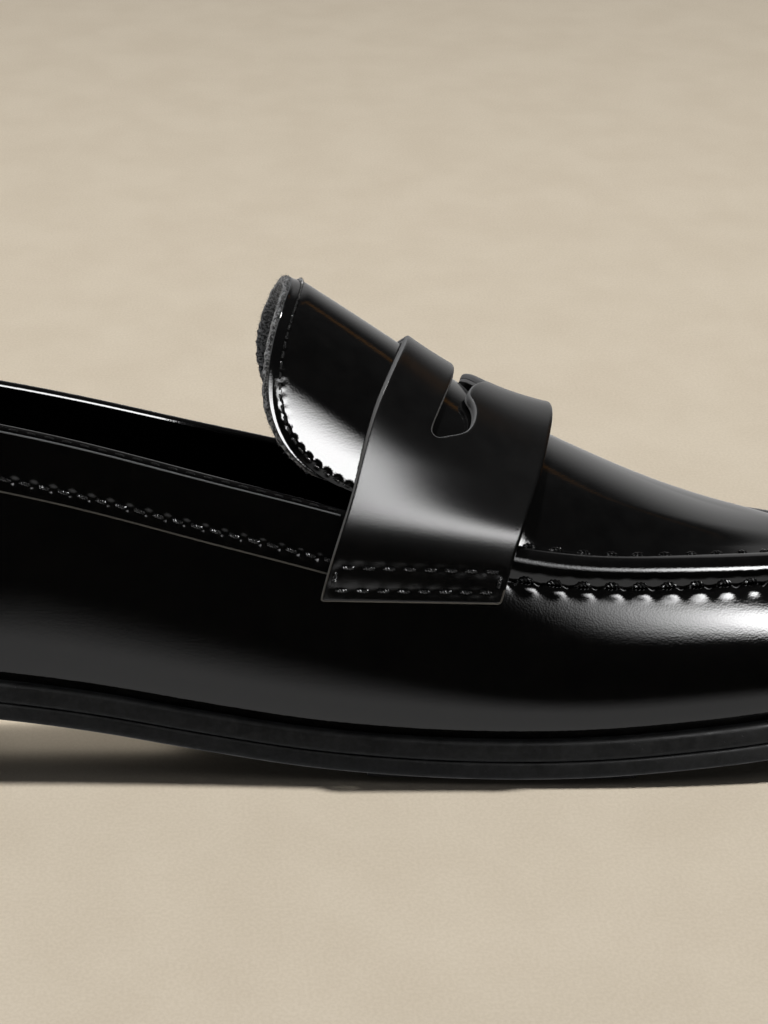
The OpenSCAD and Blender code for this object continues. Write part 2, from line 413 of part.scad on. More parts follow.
module tongue_stitches() color("#111112") placed()
  seam([for (i = [-15 : 15]) let (a = 0.96 * sin(90 * i / 15)) apron_off(min(flap_start(a) + 0.17, flap_end - 0.05), a * 0.97, 0.15)],
       pitch_tongue, fine_r, 0.25);
// stitched box at a strap end: two long rows and a short row at each side
module strap_box(p0, p1) {
  function at(p, b) = strap_off(p, b, -0.25);
  P = [at(p0, 0.05), at(p0, 0.35), at(p0, 0.65), at(p0, 0.95)];
  Q = [at(p1, 0.05), at(p1, 0.35), at(p1, 0.65), at(p1, 0.95)];
  seam(P, pitch_strap, thread_r, 0.25);
  seam(Q, pitch_strap, thread_r, 0.25);
  for (b = [0.045, 0.955]) bar(at(mix(p0, p1, 0.2), b), at(mix(p0, p1, 0.8), b), thread_r);
}
module strap_stitches_medial() color("#111112") placed() strap_box(0.55, 1.5);
module strap_stitches_lateral() color("#111112") placed() strap_box(2 * NP - 0.55, 2 * NP - 1.5);
module back_stay_stitches() color("#111112") placed() for (u = [-0.45, 0.45])
  seam([for (t = [0.03 : 0.1 : 0.98]) wall_off(u, mix(0.06, band_w0(u) - 0.02, t), band_t + band_clear + 0.1)], pitch_topline, fine_r, 0.3);

outsole();
tread_insert();
midsole();
heel_block();
heel_top_lift();
heel_nails();
shank();
cork_filler();
insole_board();
sock_liner();
heel_pad();
side_wall();
heel_counter();
toe_puff();
quarter_lining();
vamp_lining();
collar_band();
back_stay();
apron();
apron_lining();
apron_ridge();
tongue();
tongue_lining();
strap();
strap_lining();
apron_stitches_upper();
apron_stitches_lower();
collar_stitches();
topline_stitches();
tongue_stitches();
strap_stitches_medial();
strap_stitches_lateral();
back_stay_stitches();
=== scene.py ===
import math

import bmesh
import bpy
import numpy as np
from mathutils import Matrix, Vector
from mathutils.geometry import delaunay_2d_cdt


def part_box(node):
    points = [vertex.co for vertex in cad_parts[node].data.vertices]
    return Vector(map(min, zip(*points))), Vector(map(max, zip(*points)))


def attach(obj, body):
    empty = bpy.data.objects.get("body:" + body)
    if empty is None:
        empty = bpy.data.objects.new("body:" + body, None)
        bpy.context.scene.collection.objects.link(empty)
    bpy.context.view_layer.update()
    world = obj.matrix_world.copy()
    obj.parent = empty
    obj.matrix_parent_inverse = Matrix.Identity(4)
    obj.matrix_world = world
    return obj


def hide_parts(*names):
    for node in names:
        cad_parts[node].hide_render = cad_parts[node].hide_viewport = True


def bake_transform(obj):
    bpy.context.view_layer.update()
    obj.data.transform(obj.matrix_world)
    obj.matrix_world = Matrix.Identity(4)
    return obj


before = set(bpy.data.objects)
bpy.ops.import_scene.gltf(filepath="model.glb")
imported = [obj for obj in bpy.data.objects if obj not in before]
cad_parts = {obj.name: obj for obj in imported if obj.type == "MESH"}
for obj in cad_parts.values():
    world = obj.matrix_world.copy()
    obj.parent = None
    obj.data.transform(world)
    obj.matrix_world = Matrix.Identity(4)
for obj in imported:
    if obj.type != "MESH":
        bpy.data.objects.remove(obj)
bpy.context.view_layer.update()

# ---- the last -------------------------------------------------------------
# outline x, medial y, lateral y | top line x, medial y, lateral y, z | top handle out, down
STATIONS = [
    [0, 0, 0, 5, 0, 0, 84, 4, 18],
    [4, -14, 14, 7.5, -11.4, 12, 83.4, 4, 18],
    [14, -24, 24.8, 17, -18.8, 20.8, 81.2, 3.8, 18],
    [32, -29, 30.6, 34, -22.4, 26, 77.2, 3.6, 18],
    [53, -28.2, 31.6, 54, -23.2, 28.4, 73.3, 3, 17],
    [75, -25.8, 31.2, 75, -23.6, 29.8, 69.5, 2.6, 16.5],
    [97, -27.8, 31.9, 96, -25.4, 31.2, 65, 2.6, 15.5],
    [117, -31.2, 34.6, 117, -28.2, 33.2, 59.8, 2.8, 14.5],
    [137, -35.2, 39, 137, -31.2, 35.2, 55, 3.2, 13],
    [156, -38.7, 42.9, 156, -33.6, 36.8, 49.8, 3.8, 11.7],
    [176, -41.2, 45.2, 175, -34.8, 37.4, 44.2, 4.6, 11],
    [195, -42, 44.6, 193, -34.7, 36, 41.8, 5.4, 10.4],
    [214, -40.7, 41.2, 210, -33.1, 32.7, 41.2, 6.4, 9.8],
    [231, -37.4, 35.8, 224.5, -29.7, 27.7, 41, 7.4, 8.4],
    [246, -31.2, 28.2, 236, -23.7, 20.8, 40.4, 8.4, 6.6],
    [258.8, -22.2, 18.6, 243.8, -15.4, 12.2, 39.6, 9.2, 5],
    [267.2, -11.8, 8, 248.4, -7.6, 4.5, 39, 9.6, 4],
    [270, -1.9, -1.9, 249.8, -1.6, -1.6, 38.8, 9.8, 3.6]]
TOE = len(STATIONS) - 1          # station of the toe tip
ROUND = 2 * TOE                  # stations once round the shoe
# height of the sole's lower edge along the shoe
EDGE_X = [-5, 0, 30, 62, 78, 97.6, 117, 137, 156, 176, 196, 215, 229, 250, 275]
EDGE_Z = [14.8, 14.6, 13.45, 12.2, 10.5, 8.1, 5.2, 2.7, 1.45, 1.0, 1.4, 2.55, 3.6, 5.9, 9.4]
# apron and tongue sections: spine x, y, z | edge x, medial y, lateral y, z | lean | edge handles
APRON = [
    [136.2, 0.8, 95.8, 118, -28.3, 30.2, 68.3, 33.6, 0.02, 0.46],
    [148.3, 0.8, 87.8, 132, -29.3, 31.2, 62.7, 33.6, 0.02, 0.46],
    [160.4, 0.8, 79.7, 145.5, -30.7, 32.4, 57.3, 32, 0.02, 0.46],
    [172.4, 0.7, 71.6, 160.5, -32, 33.6, 51.4, 28, 0.03, 0.46],
    [184, 0.5, 64.8, 175, -32.4, 34, 47, 21, 0.06, 0.45],
    [195.6, 0.2, 58.95, 192.4, -32.1, 33.2, 44.2, 11, 0.11, 0.44],
    [207.6, -0.2, 53.5, 208.8, -30.6, 30, 43.5, 4, 0.17, 0.42],
    [218.6, -0.6, 49.4, 222.9, -27.1, 24.9, 43.1, 0, 0.24, 0.40],
    [227, -1.0, 47.1, 233.8, -21.6, 18.8, 42.4, 0, 0.28, 0.38],
    [231.5, -1.3, 46.1, 241.1, -13.9, 11, 41.7, 0, 0.32, 0.36],
    [233, -1.5, 45.75, 245.4, -6.8, 3.8, 41.3, 0, 0.33, 0.36],
    [233.2, -1.5, 45.7, 246.6, -1.5, -1.5, 41.2, 0, 0.33, 0.36]]
APRON_END = len(APRON) - 1
CROWN_FALL = -0.22               # fall of the toe end of the apron's spine
APRON_SIDE = 0.985               # how far the apron's sheets reach towards its edge, which is at 1
# strap edges from the bottom end to the crown: rear x, medial y, lateral y, z | front the same
STRAP = [
    [140.3, -38.1, 42.0, 36.6, 175.9, -40.6, 43.4, 36.3],
    [141.5, -38.4, 41.9, 41.2, 177.2, -39.9, 42.5, 40.5],
    [143.0, -38.4, 41.6, 46.4, 178.4, -39.0, 41.4, 44.6],
    [144.9, -37.2, 39.9, 52.2, 179.9, -37.5, 39.8, 48.9],
    [147.0, -34.6, 36.9, 58.4, 181.3, -34.8, 36.9, 52.6],
    [148.8, -31.6, 33.7, 64.4, 183.1, -30.8, 32.8, 56.4],
    [150.6, -28.2, 30.2, 69.9, 184.5, -27.2, 29.2, 59.6],
    [152.6, -24.2, 26.0, 74.7, 185.8, -22.2, 24.2, 62.6],
    [155.0, -18.7, 20.4, 78.8, 187.1, -15.6, 17.3, 65.6],
    [157.6, -9.8, 11.4, 82.2, 188.2, -8.0, 9.4, 68.1],
    [159.3, 0.8, 0.8, 83.3, 188.6, 0.7, 0.7, 69.1]]
CROWN = len(STRAP) - 1           # strap station of its highest point
STRAP_SAG = 1.9
# half of the penny slot, in the plane that lies on the strap's crown
SLOT = [[-3.7, 0], [-4, 8.8], [-4.6, 16.6], [-5, 22], [-5.1, 25.2], [-4.5, 26.3], [-3.3, 26.4], [-1.2, 25.2],
        [1, 23.5], [1.95, 21.3], [2.1, 18.8], [1.8, 16.4], [1, 14.3], [0.1, 12.9], [-0.25, 11.3], [-0.1, 9.4],
        [0.5, 6.6], [1.6, 3], [2.8, 0]]
SLOT_PLACE, SLOT_TILT = (172.6, 0.8, 76.0), 27

OUTSOLE_T, MIDSOLE_T = 3.7, 4.2
SOLE_T = OUTSOLE_T + MIDSOLE_T
REVEAL = 2.5                     # sole standing out beyond the upper
UPPER_T, LINING_T, BAND_T, STIFF_T = 1.4, 0.9, 1.2, 1.0
STRAP_T, STRAP_LINING_T, FELT_T = 1.2, 0.75, 1.8
BAND_W, BAND_END = 12.4, 8.4     # collar band width, and the station where each end is
GAP = 0.06                       # between glued layers
LIFT_T, HEEL_U = 5.0, 4.35       # rubber top lift, and the station of the heel breast
BOARD_T, SOCK_T = 1.9, 1.1


def closed_spline(points):
    """Smooth closed curve through points, one unit of parameter between neighbours."""
    points = np.asarray(points, float)
    n = len(points)
    m = np.eye(n) * 4 + np.roll(np.eye(n), 1, 0) + np.roll(np.eye(n), -1, 0)
    c = np.linalg.solve(m / 6.0, points)

    def at(u):
        u = np.asarray(u, float)
        k = np.floor(u).astype(int)
        return cubic(*(c[(k + j) % n] for j in (-1, 0, 1, 2)), (u - k)[..., None])
    return at


def cubic(a, b, c, d, t):
    """Uniform B-spline span between control points."""
    return ((1 - t) ** 3 * a + (3 * t ** 3 - 6 * t * t + 4) * b + (-3 * t ** 3 + 3 * t * t + 3 * t + 1) * c
            + t ** 3 * d) / 6


def open_spline(points):
    """Smooth curve through rows of numbers, one unit of parameter between neighbours."""
    points = np.asarray(points, float)
    n = len(points)
    m = np.zeros((n + 2, n + 2))
    r = np.zeros((n + 2, points.shape[1]))
    m[0, :3] = m[-1, -3:] = [1, -2, 1]
    for i in range(n):
        m[i + 1, i:i + 3] = [1 / 6, 4 / 6, 1 / 6]
        r[i + 1] = points[i]
    c = np.linalg.solve(m, r)

    def at(u):
        u = np.clip(np.asarray(u, float), 0, n - 1)
        k = np.minimum(np.floor(u).astype(int), n - 2)
        return cubic(c[k], c[k + 1], c[k + 2], c[k + 3], (u - k)[..., None])
    return at


def curve_1d(xs, ys):
    """Smooth function through (x, y) pairs."""
    xs, ys = np.asarray(xs, float), np.asarray(ys, float)
    slope = np.gradient(ys, xs)

    def at(x):
        x = np.asarray(x, float)
        k = np.clip(np.searchsorted(xs, x, side="right") - 1, 0, len(xs) - 2)
        h = xs[k + 1] - xs[k]
        t = np.clip((x - xs[k]) / h, 0, 1)
        return ((2 * t ** 3 - 3 * t * t + 1) * ys[k] + (t ** 3 - 2 * t * t + t) * h * slope[k]
                + (3 * t * t - 2 * t ** 3) * ys[k + 1] + (t ** 3 - t * t) * h * slope[k + 1])
    return at


def ring_of(medial, lateral):
    """Closed curve once round the shoe from two sets of columns of STATIONS."""
    rows = [[r[j] for j in medial] for r in STATIONS]
    return closed_spline(rows + [[r[j] for j in lateral] for r in STATIONS[-2:0:-1]])


outline = ring_of((0, 1), (0, 2))
top_line = ring_of((3, 4, 6), (3, 5, 6))
top_handle = ring_of((7, 8), (7, 8))
edge_z = curve_1d(EDGE_X, EDGE_Z)
apron_row = open_spline(APRON)
# the outer side's rear edge lies this much further forward
STRAP_TUCK = [0, 0, 0, 0, 0.2, 0.5, 0.9, 1.3, 1.6, 1.5, 0]
strap_row = open_spline([[r[0], r[1], r[3], r[4], r[5], r[7]] for r in STRAP]
                        + [[r[0] + t, r[2], r[3] - 0.5 * t, r[4], r[6], r[7]]
                           for r, t in zip(STRAP[-2::-1], STRAP_TUCK[-2::-1])])
UP = np.array([0, 0, 1.0])


def unit(v):
    return v / np.maximum(np.linalg.norm(v, axis=-1, keepdims=True), 1e-9)


def smooth(e0, e1, x):
    """0 at e0, 1 at e1, eased at both ends."""
    t = np.clip((np.asarray(x, float) - e0) / (e1 - e0), 0, 1)
    return t * t * (3 - 2 * t)


def outward(u):
    """Horizontal direction straight out of the sole's outline."""
    d = outline(np.asarray(u, float) + 1e-3) - outline(np.asarray(u, float) - 1e-3)
    return unit(np.stack([d[..., 1], -d[..., 0], 0 * d[..., 0]], -1))


def rim(u, inset, h):
    """Point inset from the sole's outline, h above its lower edge."""
    u, inset, h = np.broadcast_arrays(np.asarray(u, float), inset, h)
    p = outline(u) - outward(u)[..., :2] * inset[..., None]
    return np.concatenate([p, (edge_z(p[..., 0]) + h)[..., None]], -1)


def wall(u, w):
    """Outer face of the upper: w 0 at the feather edge, 1 at the top line."""
    u, w = np.broadcast_arrays(np.asarray(u, float), np.asarray(w, float))
    w = w[..., None]
    low, top, n, h = rim(u, REVEAL, SOLE_T), top_line(u), outward(u), top_handle(u)
    p1 = low + n * 5.6 + UP * (top - low)[..., 2:3] * 0.18
    p2 = top + n * h[..., 0:1] - UP * h[..., 1:2]
    return (1 - w) ** 3 * low + 3 * (1 - w) ** 2 * w * p1 + 3 * (1 - w) * w * w * p2 + w ** 3 * top


def wall_out(u, w):
    """Direction straight out of the wall."""
    u, w = np.broadcast_arrays(np.asarray(u, float), np.asarray(w, float))
    return unit(np.cross(wall(u + 0.02, w) - wall(u - 0.02, w),
                         wall(u, np.minimum(1, w + 0.01)) - wall(u, np.maximum(0, w - 0.01))))


def apron(v, a):
    """Outer face of the apron and tongue: a -1 medial edge, 0 spine, 1 lateral edge."""
    v, a = np.broadcast_arrays(np.asarray(v, float), np.asarray(a, float))
    q = apron_row(v)
    c = q[..., 0:3]
    e = np.stack([q[..., 3], np.where(a < 0, q[..., 4], q[..., 5]), q[..., 6]], -1)
    lean = np.radians(q[..., 7])
    t = np.abs(a)[..., None]
    fall = np.stack([-np.sin(lean), 0 * lean, -np.cos(lean)], -1)
    drop = ((c[..., 2] - e[..., 2]) / np.cos(lean))[..., None]
    f = e - c - fall * drop
    f[..., 2] = 0
    p1 = c + 0.6 * f
    p1[..., 2] += CROWN_FALL * 0.6 * f[..., 0]
    p2 = e - q[..., 8:9] * f - q[..., 9:10] * drop * fall
    return (1 - t) ** 3 * c + 3 * (1 - t) ** 2 * t * p1 + 3 * (1 - t) * t * t * p2 + t ** 3 * e


def apron_out(v, a):
    v, a = np.broadcast_arrays(np.asarray(v, float), np.asarray(a, float))
    side = np.where(a < 0, -1.0, 1.0)
    b = np.minimum(np.abs(a), APRON_SIDE) * side
    g = np.maximum(np.abs(b), 0.02)
    n = unit(np.cross(apron(v + 0.02, b) - apron(v - 0.02, b),
                      apron(v, side * (g + 0.015)) - apron(v, side * (g - 0.015))))
    return np.where(n[..., 2:3] < 0, -n, n)


def strap(p, b):
    """Outer face of the strap: p 0 medial end, CROWN top, 2 CROWN lateral end; b 0 rear, 1 front."""
    p, b = np.broadcast_arrays(np.asarray(p, float), np.asarray(b, float))
    q = strap_row(p)
    s = np.cos(np.pi / 2 * np.minimum(1, np.abs(p - CROWN) / 6.5)) ** 2
    out = q[..., 0:3] * (1 - b[..., None]) + q[..., 3:6] * b[..., None]
    out[..., 2] -= STRAP_SAG * 4 * b * (1 - b) * s
    return out


def strap_out(p, b):
    p, b = np.broadcast_arrays(np.asarray(p, float), np.asarray(b, float))
    return unit(np.cross(strap(p, b + 0.02) - strap(p, b - 0.02), strap(p + 0.05, b) - strap(p - 0.05, b)))


# ---- meshes ---------------------------------------------------------------
sole_low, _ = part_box("outsole")
ring_all = outline(np.linspace(0, ROUND, 1440, endpoint=False))
SHIFT = np.array([sole_low.x * 1000 - ring_all[:, 0].min(), sole_low.y * 1000 - ring_all[:, 1].min(), 0])


def place(points):
    """Millimetres on the last to metres in the shared frame."""
    return (np.asarray(points, float) + SHIFT) / 1000


def grid_faces(n, m, wrap_i=False, wrap_j=False, start=0):
    """Quads of an n by m grid of points; wrap_i and wrap_j close it."""
    i, j = np.meshgrid(np.arange(n if wrap_i else n - 1), np.arange(m if wrap_j else m - 1), indexing="ij")
    i2, j2 = (i + 1) % n, (j + 1) % m
    return start + np.stack([i * m + j, i * m + j2, i2 * m + j2, i2 * m + j], -1).reshape(-1, 4)


def piece(name, points, quads, tris=(), cut=None, *, material, slot, replaces, body="shoe", sharp=40):
    """One mesh of the shoe, riding on its body; cut is 1 where the leather shows a raw edge."""
    me = bpy.data.meshes.new(name)
    q, t = np.asarray(quads, np.int32).reshape(-1, 4), np.asarray(tris, np.int32).reshape(-1, 3)
    points = place(np.asarray(points, float).reshape(-1, 3))
    me.vertices.add(len(points))
    me.vertices.foreach_set("co", points.astype(np.float32).ravel())
    me.loops.add(q.size + t.size)
    me.loops.foreach_set("vertex_index", np.concatenate([q.ravel(), t.ravel()]))
    me.polygons.add(len(q) + len(t))
    starts = np.concatenate([np.arange(len(q)) * 4, q.size + np.arange(len(t)) * 3])
    me.polygons.foreach_set("loop_start", starts)
    me.update(calc_edges=True)
    if cut is not None:
        values = np.concatenate([cut.ravel()] * 2)    # upper face, then lower face
        me.attributes.new("rim", "FLOAT", "POINT").data.foreach_set("value", values.astype(np.float32))
    bm = bmesh.new()
    bm.from_mesh(me)
    bmesh.ops.remove_doubles(bm, verts=bm.verts, dist=1e-7)
    bmesh.ops.recalc_face_normals(bm, faces=bm.faces)
    bm.to_mesh(me)
    bm.free()
    me.polygons.foreach_set("use_smooth", np.ones(len(me.polygons), bool))
    me.set_sharp_from_angle(angle=math.radians(sharp))
    ob = bpy.data.objects.new(name, me)
    bpy.context.scene.collection.objects.link(ob)
    me.materials.append(material)
    if body:
        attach(ob, body)
    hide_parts(*replaces)
    return ob


def shell(upper, lower, wrap=False):
    """Closed sheet between two grids; wrap joins the last row to the first."""
    n, m = upper.shape[:2]
    pts = np.concatenate([upper.reshape(-1, 3), lower.reshape(-1, 3)])
    faces = [grid_faces(n, m, wrap), grid_faces(n, m, wrap, start=n * m)[:, ::-1]]

    def skirt(ids, close):
        nxt = np.roll(ids, -1) if close else ids[1:]
        cur = ids if close else ids[:-1]
        faces.append(np.stack([cur, nxt, nxt + n * m, cur + n * m], -1))
    skirt(np.arange(n) * m, wrap)
    skirt(np.arange(n) * m + m - 1, wrap)
    if not wrap:
        skirt(np.arange(m), False)
        skirt((n - 1) * m + np.arange(m), False)
    return pts, np.concatenate(faces)


def loops(sections, wrap=False):
    """Closed sections swept along; open sweeps get a cap of quads at each end."""
    n, m = sections.shape[:2]
    faces = [grid_faces(n, m, wrap, True)]
    if not wrap:
        k = np.arange(m // 2 - 1)
        for s in (0, (n - 1) * m):
            faces.append(s + np.stack([k, k + 1, m - 2 - k, m - 1 - k], -1))
    return sections.reshape(-1, 3), np.concatenate(faces)


def stack(rings):
    """Closed solid from rings, bottom first; point i faces point n - i across the shoe."""
    m, n = rings.shape[:2]
    faces = [grid_faces(m, n, False, True)]
    k = np.arange(1, n // 2 - 1)
    for s in (0, (m - 1) * n):
        faces.append(s + np.stack([k, k + 1, n - k - 1, n - k], -1))
    corners = ((0, 1, n - 1), (n // 2 - 1, n // 2, n // 2 + 1))
    tris = [[s + a, s + b, s + c] for s in (0, (m - 1) * n) for a, b, c in corners]
    return rings.reshape(-1, 3), np.concatenate(faces), tris


def rounded(d, r):
    """How far a sheet's face drops at distance d from its cut edge, with edge radius r."""
    x = np.clip(r - d, 0, r)
    return r - np.sqrt(np.maximum(r * r - x * x, 0))


def ends(n, length, fine=(0, 0.05, 0.14, 0.28, 0.5)):
    """Distances 0..length, fine near both ends."""
    fine = np.array(fine)
    middle = np.linspace(fine[-1] + 0.3, length - fine[-1] - 0.3, n)
    return np.concatenate([fine, middle, length - fine[::-1]])


def spaced(half, count):
    """Numbers from -1 to 1 that crowd at the ends; half is the half angle they span, in degrees."""
    return np.sin(np.radians(np.linspace(-half, half, count)))


def picked(x, s, table):
    """Rows of a table at the positions x along s."""
    return np.stack([np.interp(x, s, column) for column in table.T], -1)


def arc_length(points):
    """Distance along a row of points."""
    return np.concatenate([[0], np.cumsum(np.linalg.norm(np.diff(points, axis=0), axis=1))])


# ---- materials ------------------------------------------------------------
def shader(name, base, rough, **sockets):
    """A new material and its shader; sockets are named with _ for a space."""
    m = bpy.data.materials.new(name)
    m.use_nodes = True
    s = m.node_tree.nodes["Principled BSDF"]
    s.inputs["Base Color"].default_value = (*base, 1)
    s.inputs["Roughness"].default_value = rough
    for key, value in sockets.items():
        s.inputs[key.replace("_", " ")].default_value = value
    return m, s


def node(m, kind, **values):
    """A new node of a material, lamp or world, with its inputs or settings."""
    n = m.node_tree.nodes.new(kind)
    for key, value in values.items():
        if key in n.inputs:
            n.inputs[key].default_value = value
        else:
            setattr(n, key, value)
    return n


def join(m, a, b):
    m.node_tree.links.new(a, b)


def stretched(m, stretch):
    """Object coordinates, scaled along each axis."""
    mapping = node(m, "ShaderNodeMapping", Scale=stretch)
    join(m, node(m, "ShaderNodeTexCoord").outputs["Object"], mapping.inputs["Vector"])
    return mapping.outputs["Vector"]


def noise(m, scale, detail=3.0, stretch=(1, 1, 1)):
    """Noise value in object space; scale is features per metre."""
    n = node(m, "ShaderNodeTexNoise", Scale=scale, Detail=detail, Roughness=0.55)
    join(m, stretched(m, stretch), n.inputs["Vector"])
    return n.outputs["Fac"]


def cells(m, scale):
    """Distance to the nearest of many scattered points; scale is points per metre."""
    n = node(m, "ShaderNodeTexVoronoi", Scale=scale)
    join(m, stretched(m, (1, 1, 1)), n.inputs["Vector"])
    return n.outputs["Distance"]


def calc(m, op, a, b=0.0):
    """Result of a maths node; a and b are numbers or outputs."""
    n = node(m, "ShaderNodeMath", operation=op)
    for k, v in ((0, a), (1, b)):
        if isinstance(v, (int, float)):
            n.inputs[k].default_value = v
        else:
            join(m, v, n.inputs[k])
    return n.outputs[0]


def spread(m, value, lo, hi, out_lo, out_hi):
    """Map lo..hi smoothly to out_lo..out_hi."""
    n = node(m, "ShaderNodeMapRange")
    n.interpolation_type = "SMOOTHSTEP"
    for key, v in (("From Min", lo), ("From Max", hi), ("To Min", out_lo), ("To Max", out_hi)):
        n.inputs[key].default_value = v
    join(m, value, n.inputs["Value"])
    return n.outputs["Result"]


def mixed(m, fac, a, b, mode="MIX"):
    """Mix two colours, each an RGB tuple or an output; fac is a number or an output."""
    n = node(m, "ShaderNodeMix", data_type="RGBA", blend_type=mode)
    for k, v in ((0, fac), (6, a), (7, b)):
        if isinstance(v, (int, float)):
            n.inputs[k].default_value = v
        elif isinstance(v, tuple):
            n.inputs[k].default_value = (*v, 1)
        else:
            join(m, v, n.inputs[k])
    return n.outputs[2]


def mottled(m, scale, detail, lo, hi, a, b, stretch=(1, 1, 1)):
    """Cloudy mix of two colours."""
    return mixed(m, spread(m, noise(m, scale, detail, stretch), lo, hi, 0, 1), a, b)


def bumps(m, s, layers):
    """Bump from (value, depth in metres) pairs, one over the other."""
    last = None
    for value, depth in layers:
        b = node(m, "ShaderNodeBump")
        b.inputs["Strength"].default_value = 1
        b.inputs["Distance"].default_value = depth
        join(m, value, b.inputs["Height"])
        if last:
            join(m, last, b.inputs["Normal"])
        last = b.outputs["Normal"]
    join(m, last, s.inputs["Normal"])
    if s.inputs["Coat Weight"].default_value > 0:
        join(m, last, s.inputs["Coat Normal"])


def leather(name, dark, pale, coat_rough, grain, streak, rough=0.4, raw=(0.115, 0.12, 0.127), pores=2600):
    """Polished black leather with pores and faint streaks; its cut edge is dull and paler."""
    m, s = shader(name, dark, rough, Coat_Weight=1.0, Coat_Roughness=coat_rough, Coat_IOR=1.45,
                  Specular_IOR_Level=0.0)
    attribute = node(m, "ShaderNodeAttribute", attribute_name="rim")
    edge = spread(m, attribute.outputs["Fac"], 0.35, 0.65, 0, 1)
    join(m, mixed(m, edge, mottled(m, 260, 4, 0.3, 0.7, dark, pale), raw), s.inputs["Base Color"])
    join(m, spread(m, edge, 0, 1, 1, 0.05), s.inputs["Coat Weight"])
    join(m, spread(m, edge, 0, 1, rough, 0.75), s.inputs["Roughness"])
    bumps(m, s, [(noise(m, 900, 3, (0.35, 1, 1)), streak), (cells(m, pores), grain)])
    return m


JET, JET_PALE = (0.002, 0.002, 0.0021), (0.004, 0.004, 0.0041)
BLACK = leather("upper_polished", JET, JET_PALE, 0.06, 0.000006, 0.000008)
STRAP_SKIN = leather("strap_polished", (0.003, 0.003, 0.0032), (0.005, 0.005, 0.0052), 0.19, 0.00001,
                     0.0000006, raw=(0.15, 0.153, 0.16), pores=4300)
LINING = leather("lining_gloss", JET, JET_PALE, 0.08, 0.000006, 0.000008)
SPLIT = leather("strap_backing", (0.02, 0.02, 0.021), (0.035, 0.035, 0.037), 0.4, 0.00002, 0.00002, rough=0.6,
                raw=(0.16, 0.162, 0.168))

FELT, s = shader("felt_napped", (0.06, 0.063, 0.068), 0.95, Sheen_Weight=0.25, Sheen_Roughness=0.5,
                 Specular_IOR_Level=0.1)
join(FELT, mottled(FELT, 1800, 4, 0.43, 0.6, (0.008, 0.0085, 0.0095), (0.165, 0.17, 0.178)),
     s.inputs["Base Color"])
bumps(FELT, s, [(noise(FELT, 900, 4), 0.0004), (noise(FELT, 5000, 3), 0.0001)])

THREAD, s = shader("thread_waxed", (0.004, 0.004, 0.0045), 0.3, Coat_Weight=0.8, Coat_Roughness=0.15,
                   Specular_IOR_Level=0.3)
join(THREAD, mixed(THREAD, noise(THREAD, 4000, 2), (0.002, 0.002, 0.0025), (0.009, 0.009, 0.010)),
     s.inputs["Base Color"])
bumps(THREAD, s, [(noise(THREAD, 9000, 2), 0.00003)])


def rubber(name, dark, pale, rough, grain=0.00003, specks=0.0):
    """Dull sole material: cloudy, finely grained, slightly uneven; specks are small pits."""
    m, s = shader(name, dark, rough, Specular_IOR_Level=0.2)
    join(m, mottled(m, 700, 5, 0.35, 0.68, dark, pale), s.inputs["Base Color"])
    join(m, spread(m, noise(m, 220, 3), 0.3, 0.7, rough - 0.07, rough + 0.08), s.inputs["Roughness"])
    layers = [(noise(m, 3500, 3), grain), (noise(m, 160, 2, (1, 1, 2.5)), 0.00009)]
    if specks:
        layers.append((spread(m, cells(m, 900), 0.0, 0.22, 0, 1), specks))
    bumps(m, s, layers)
    return m


MIDSOLE = rubber("midsole_charcoal", (0.0098, 0.0112, 0.0132), (0.019, 0.0216, 0.0255), 0.46, specks=0.00004)
OUTSOLE = rubber("outsole_charcoal", (0.0095, 0.0109, 0.0128), (0.0182, 0.0207, 0.0245), 0.5, 0.00004,
                 specks=0.00004)
TREAD = rubber("tread_rubber", (0.010, 0.010, 0.011), (0.018, 0.018, 0.019), 0.62, 0.00006)
LIFT = rubber("top_lift_rubber", (0.009, 0.009, 0.010), (0.016, 0.016, 0.017), 0.6, 0.00005)
HEEL = rubber("heel_painted", (0.009, 0.0092, 0.010), (0.014, 0.0142, 0.016), 0.36)
SOCK = rubber("sock_satin", (0.010, 0.010, 0.0105), (0.018, 0.018, 0.019), 0.5, 0.00002)


def plain(name, a, b, rough, scale, depth, metallic=0.0):
    """Materials of the hidden parts: fibre board, cork, steel."""
    m, s = shader(name, a, rough, Metallic=metallic)
    join(m, mottled(m, scale, 4, 0.3, 0.7, a, b), s.inputs["Base Color"])
    bumps(m, s, [(noise(m, scale * 2, 3), depth)])
    return m


BOARD = plain("fibre_board", (0.20, 0.14, 0.09), (0.34, 0.25, 0.17), 0.85, 900, 0.00008)
CORK = plain("cork", (0.22, 0.12, 0.06), (0.45, 0.29, 0.17), 0.9, 500, 0.0003)
STEEL = plain("brushed_steel", (0.42, 0.43, 0.44), (0.6, 0.61, 0.62), 0.35, 300, 0.00001, 1.0)
for name, mat in (("heel_counter", BOARD), ("toe_puff", BOARD), ("cork_filler", CORK), ("shank", STEEL),
                  ("heel_nails", STEEL)):
    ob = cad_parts[name]
    ob.data.materials.clear()
    ob.data.materials.append(mat)

# ---- sole -----------------------------------------------------------------
SOLE_U = np.linspace(0, ROUND, 900, endpoint=False)


def layer(profile):
    """Solid all round the sole from (inset, height) pairs, bottom first."""
    return stack(np.stack([rim(SOLE_U, i, h) for i, h in profile]))


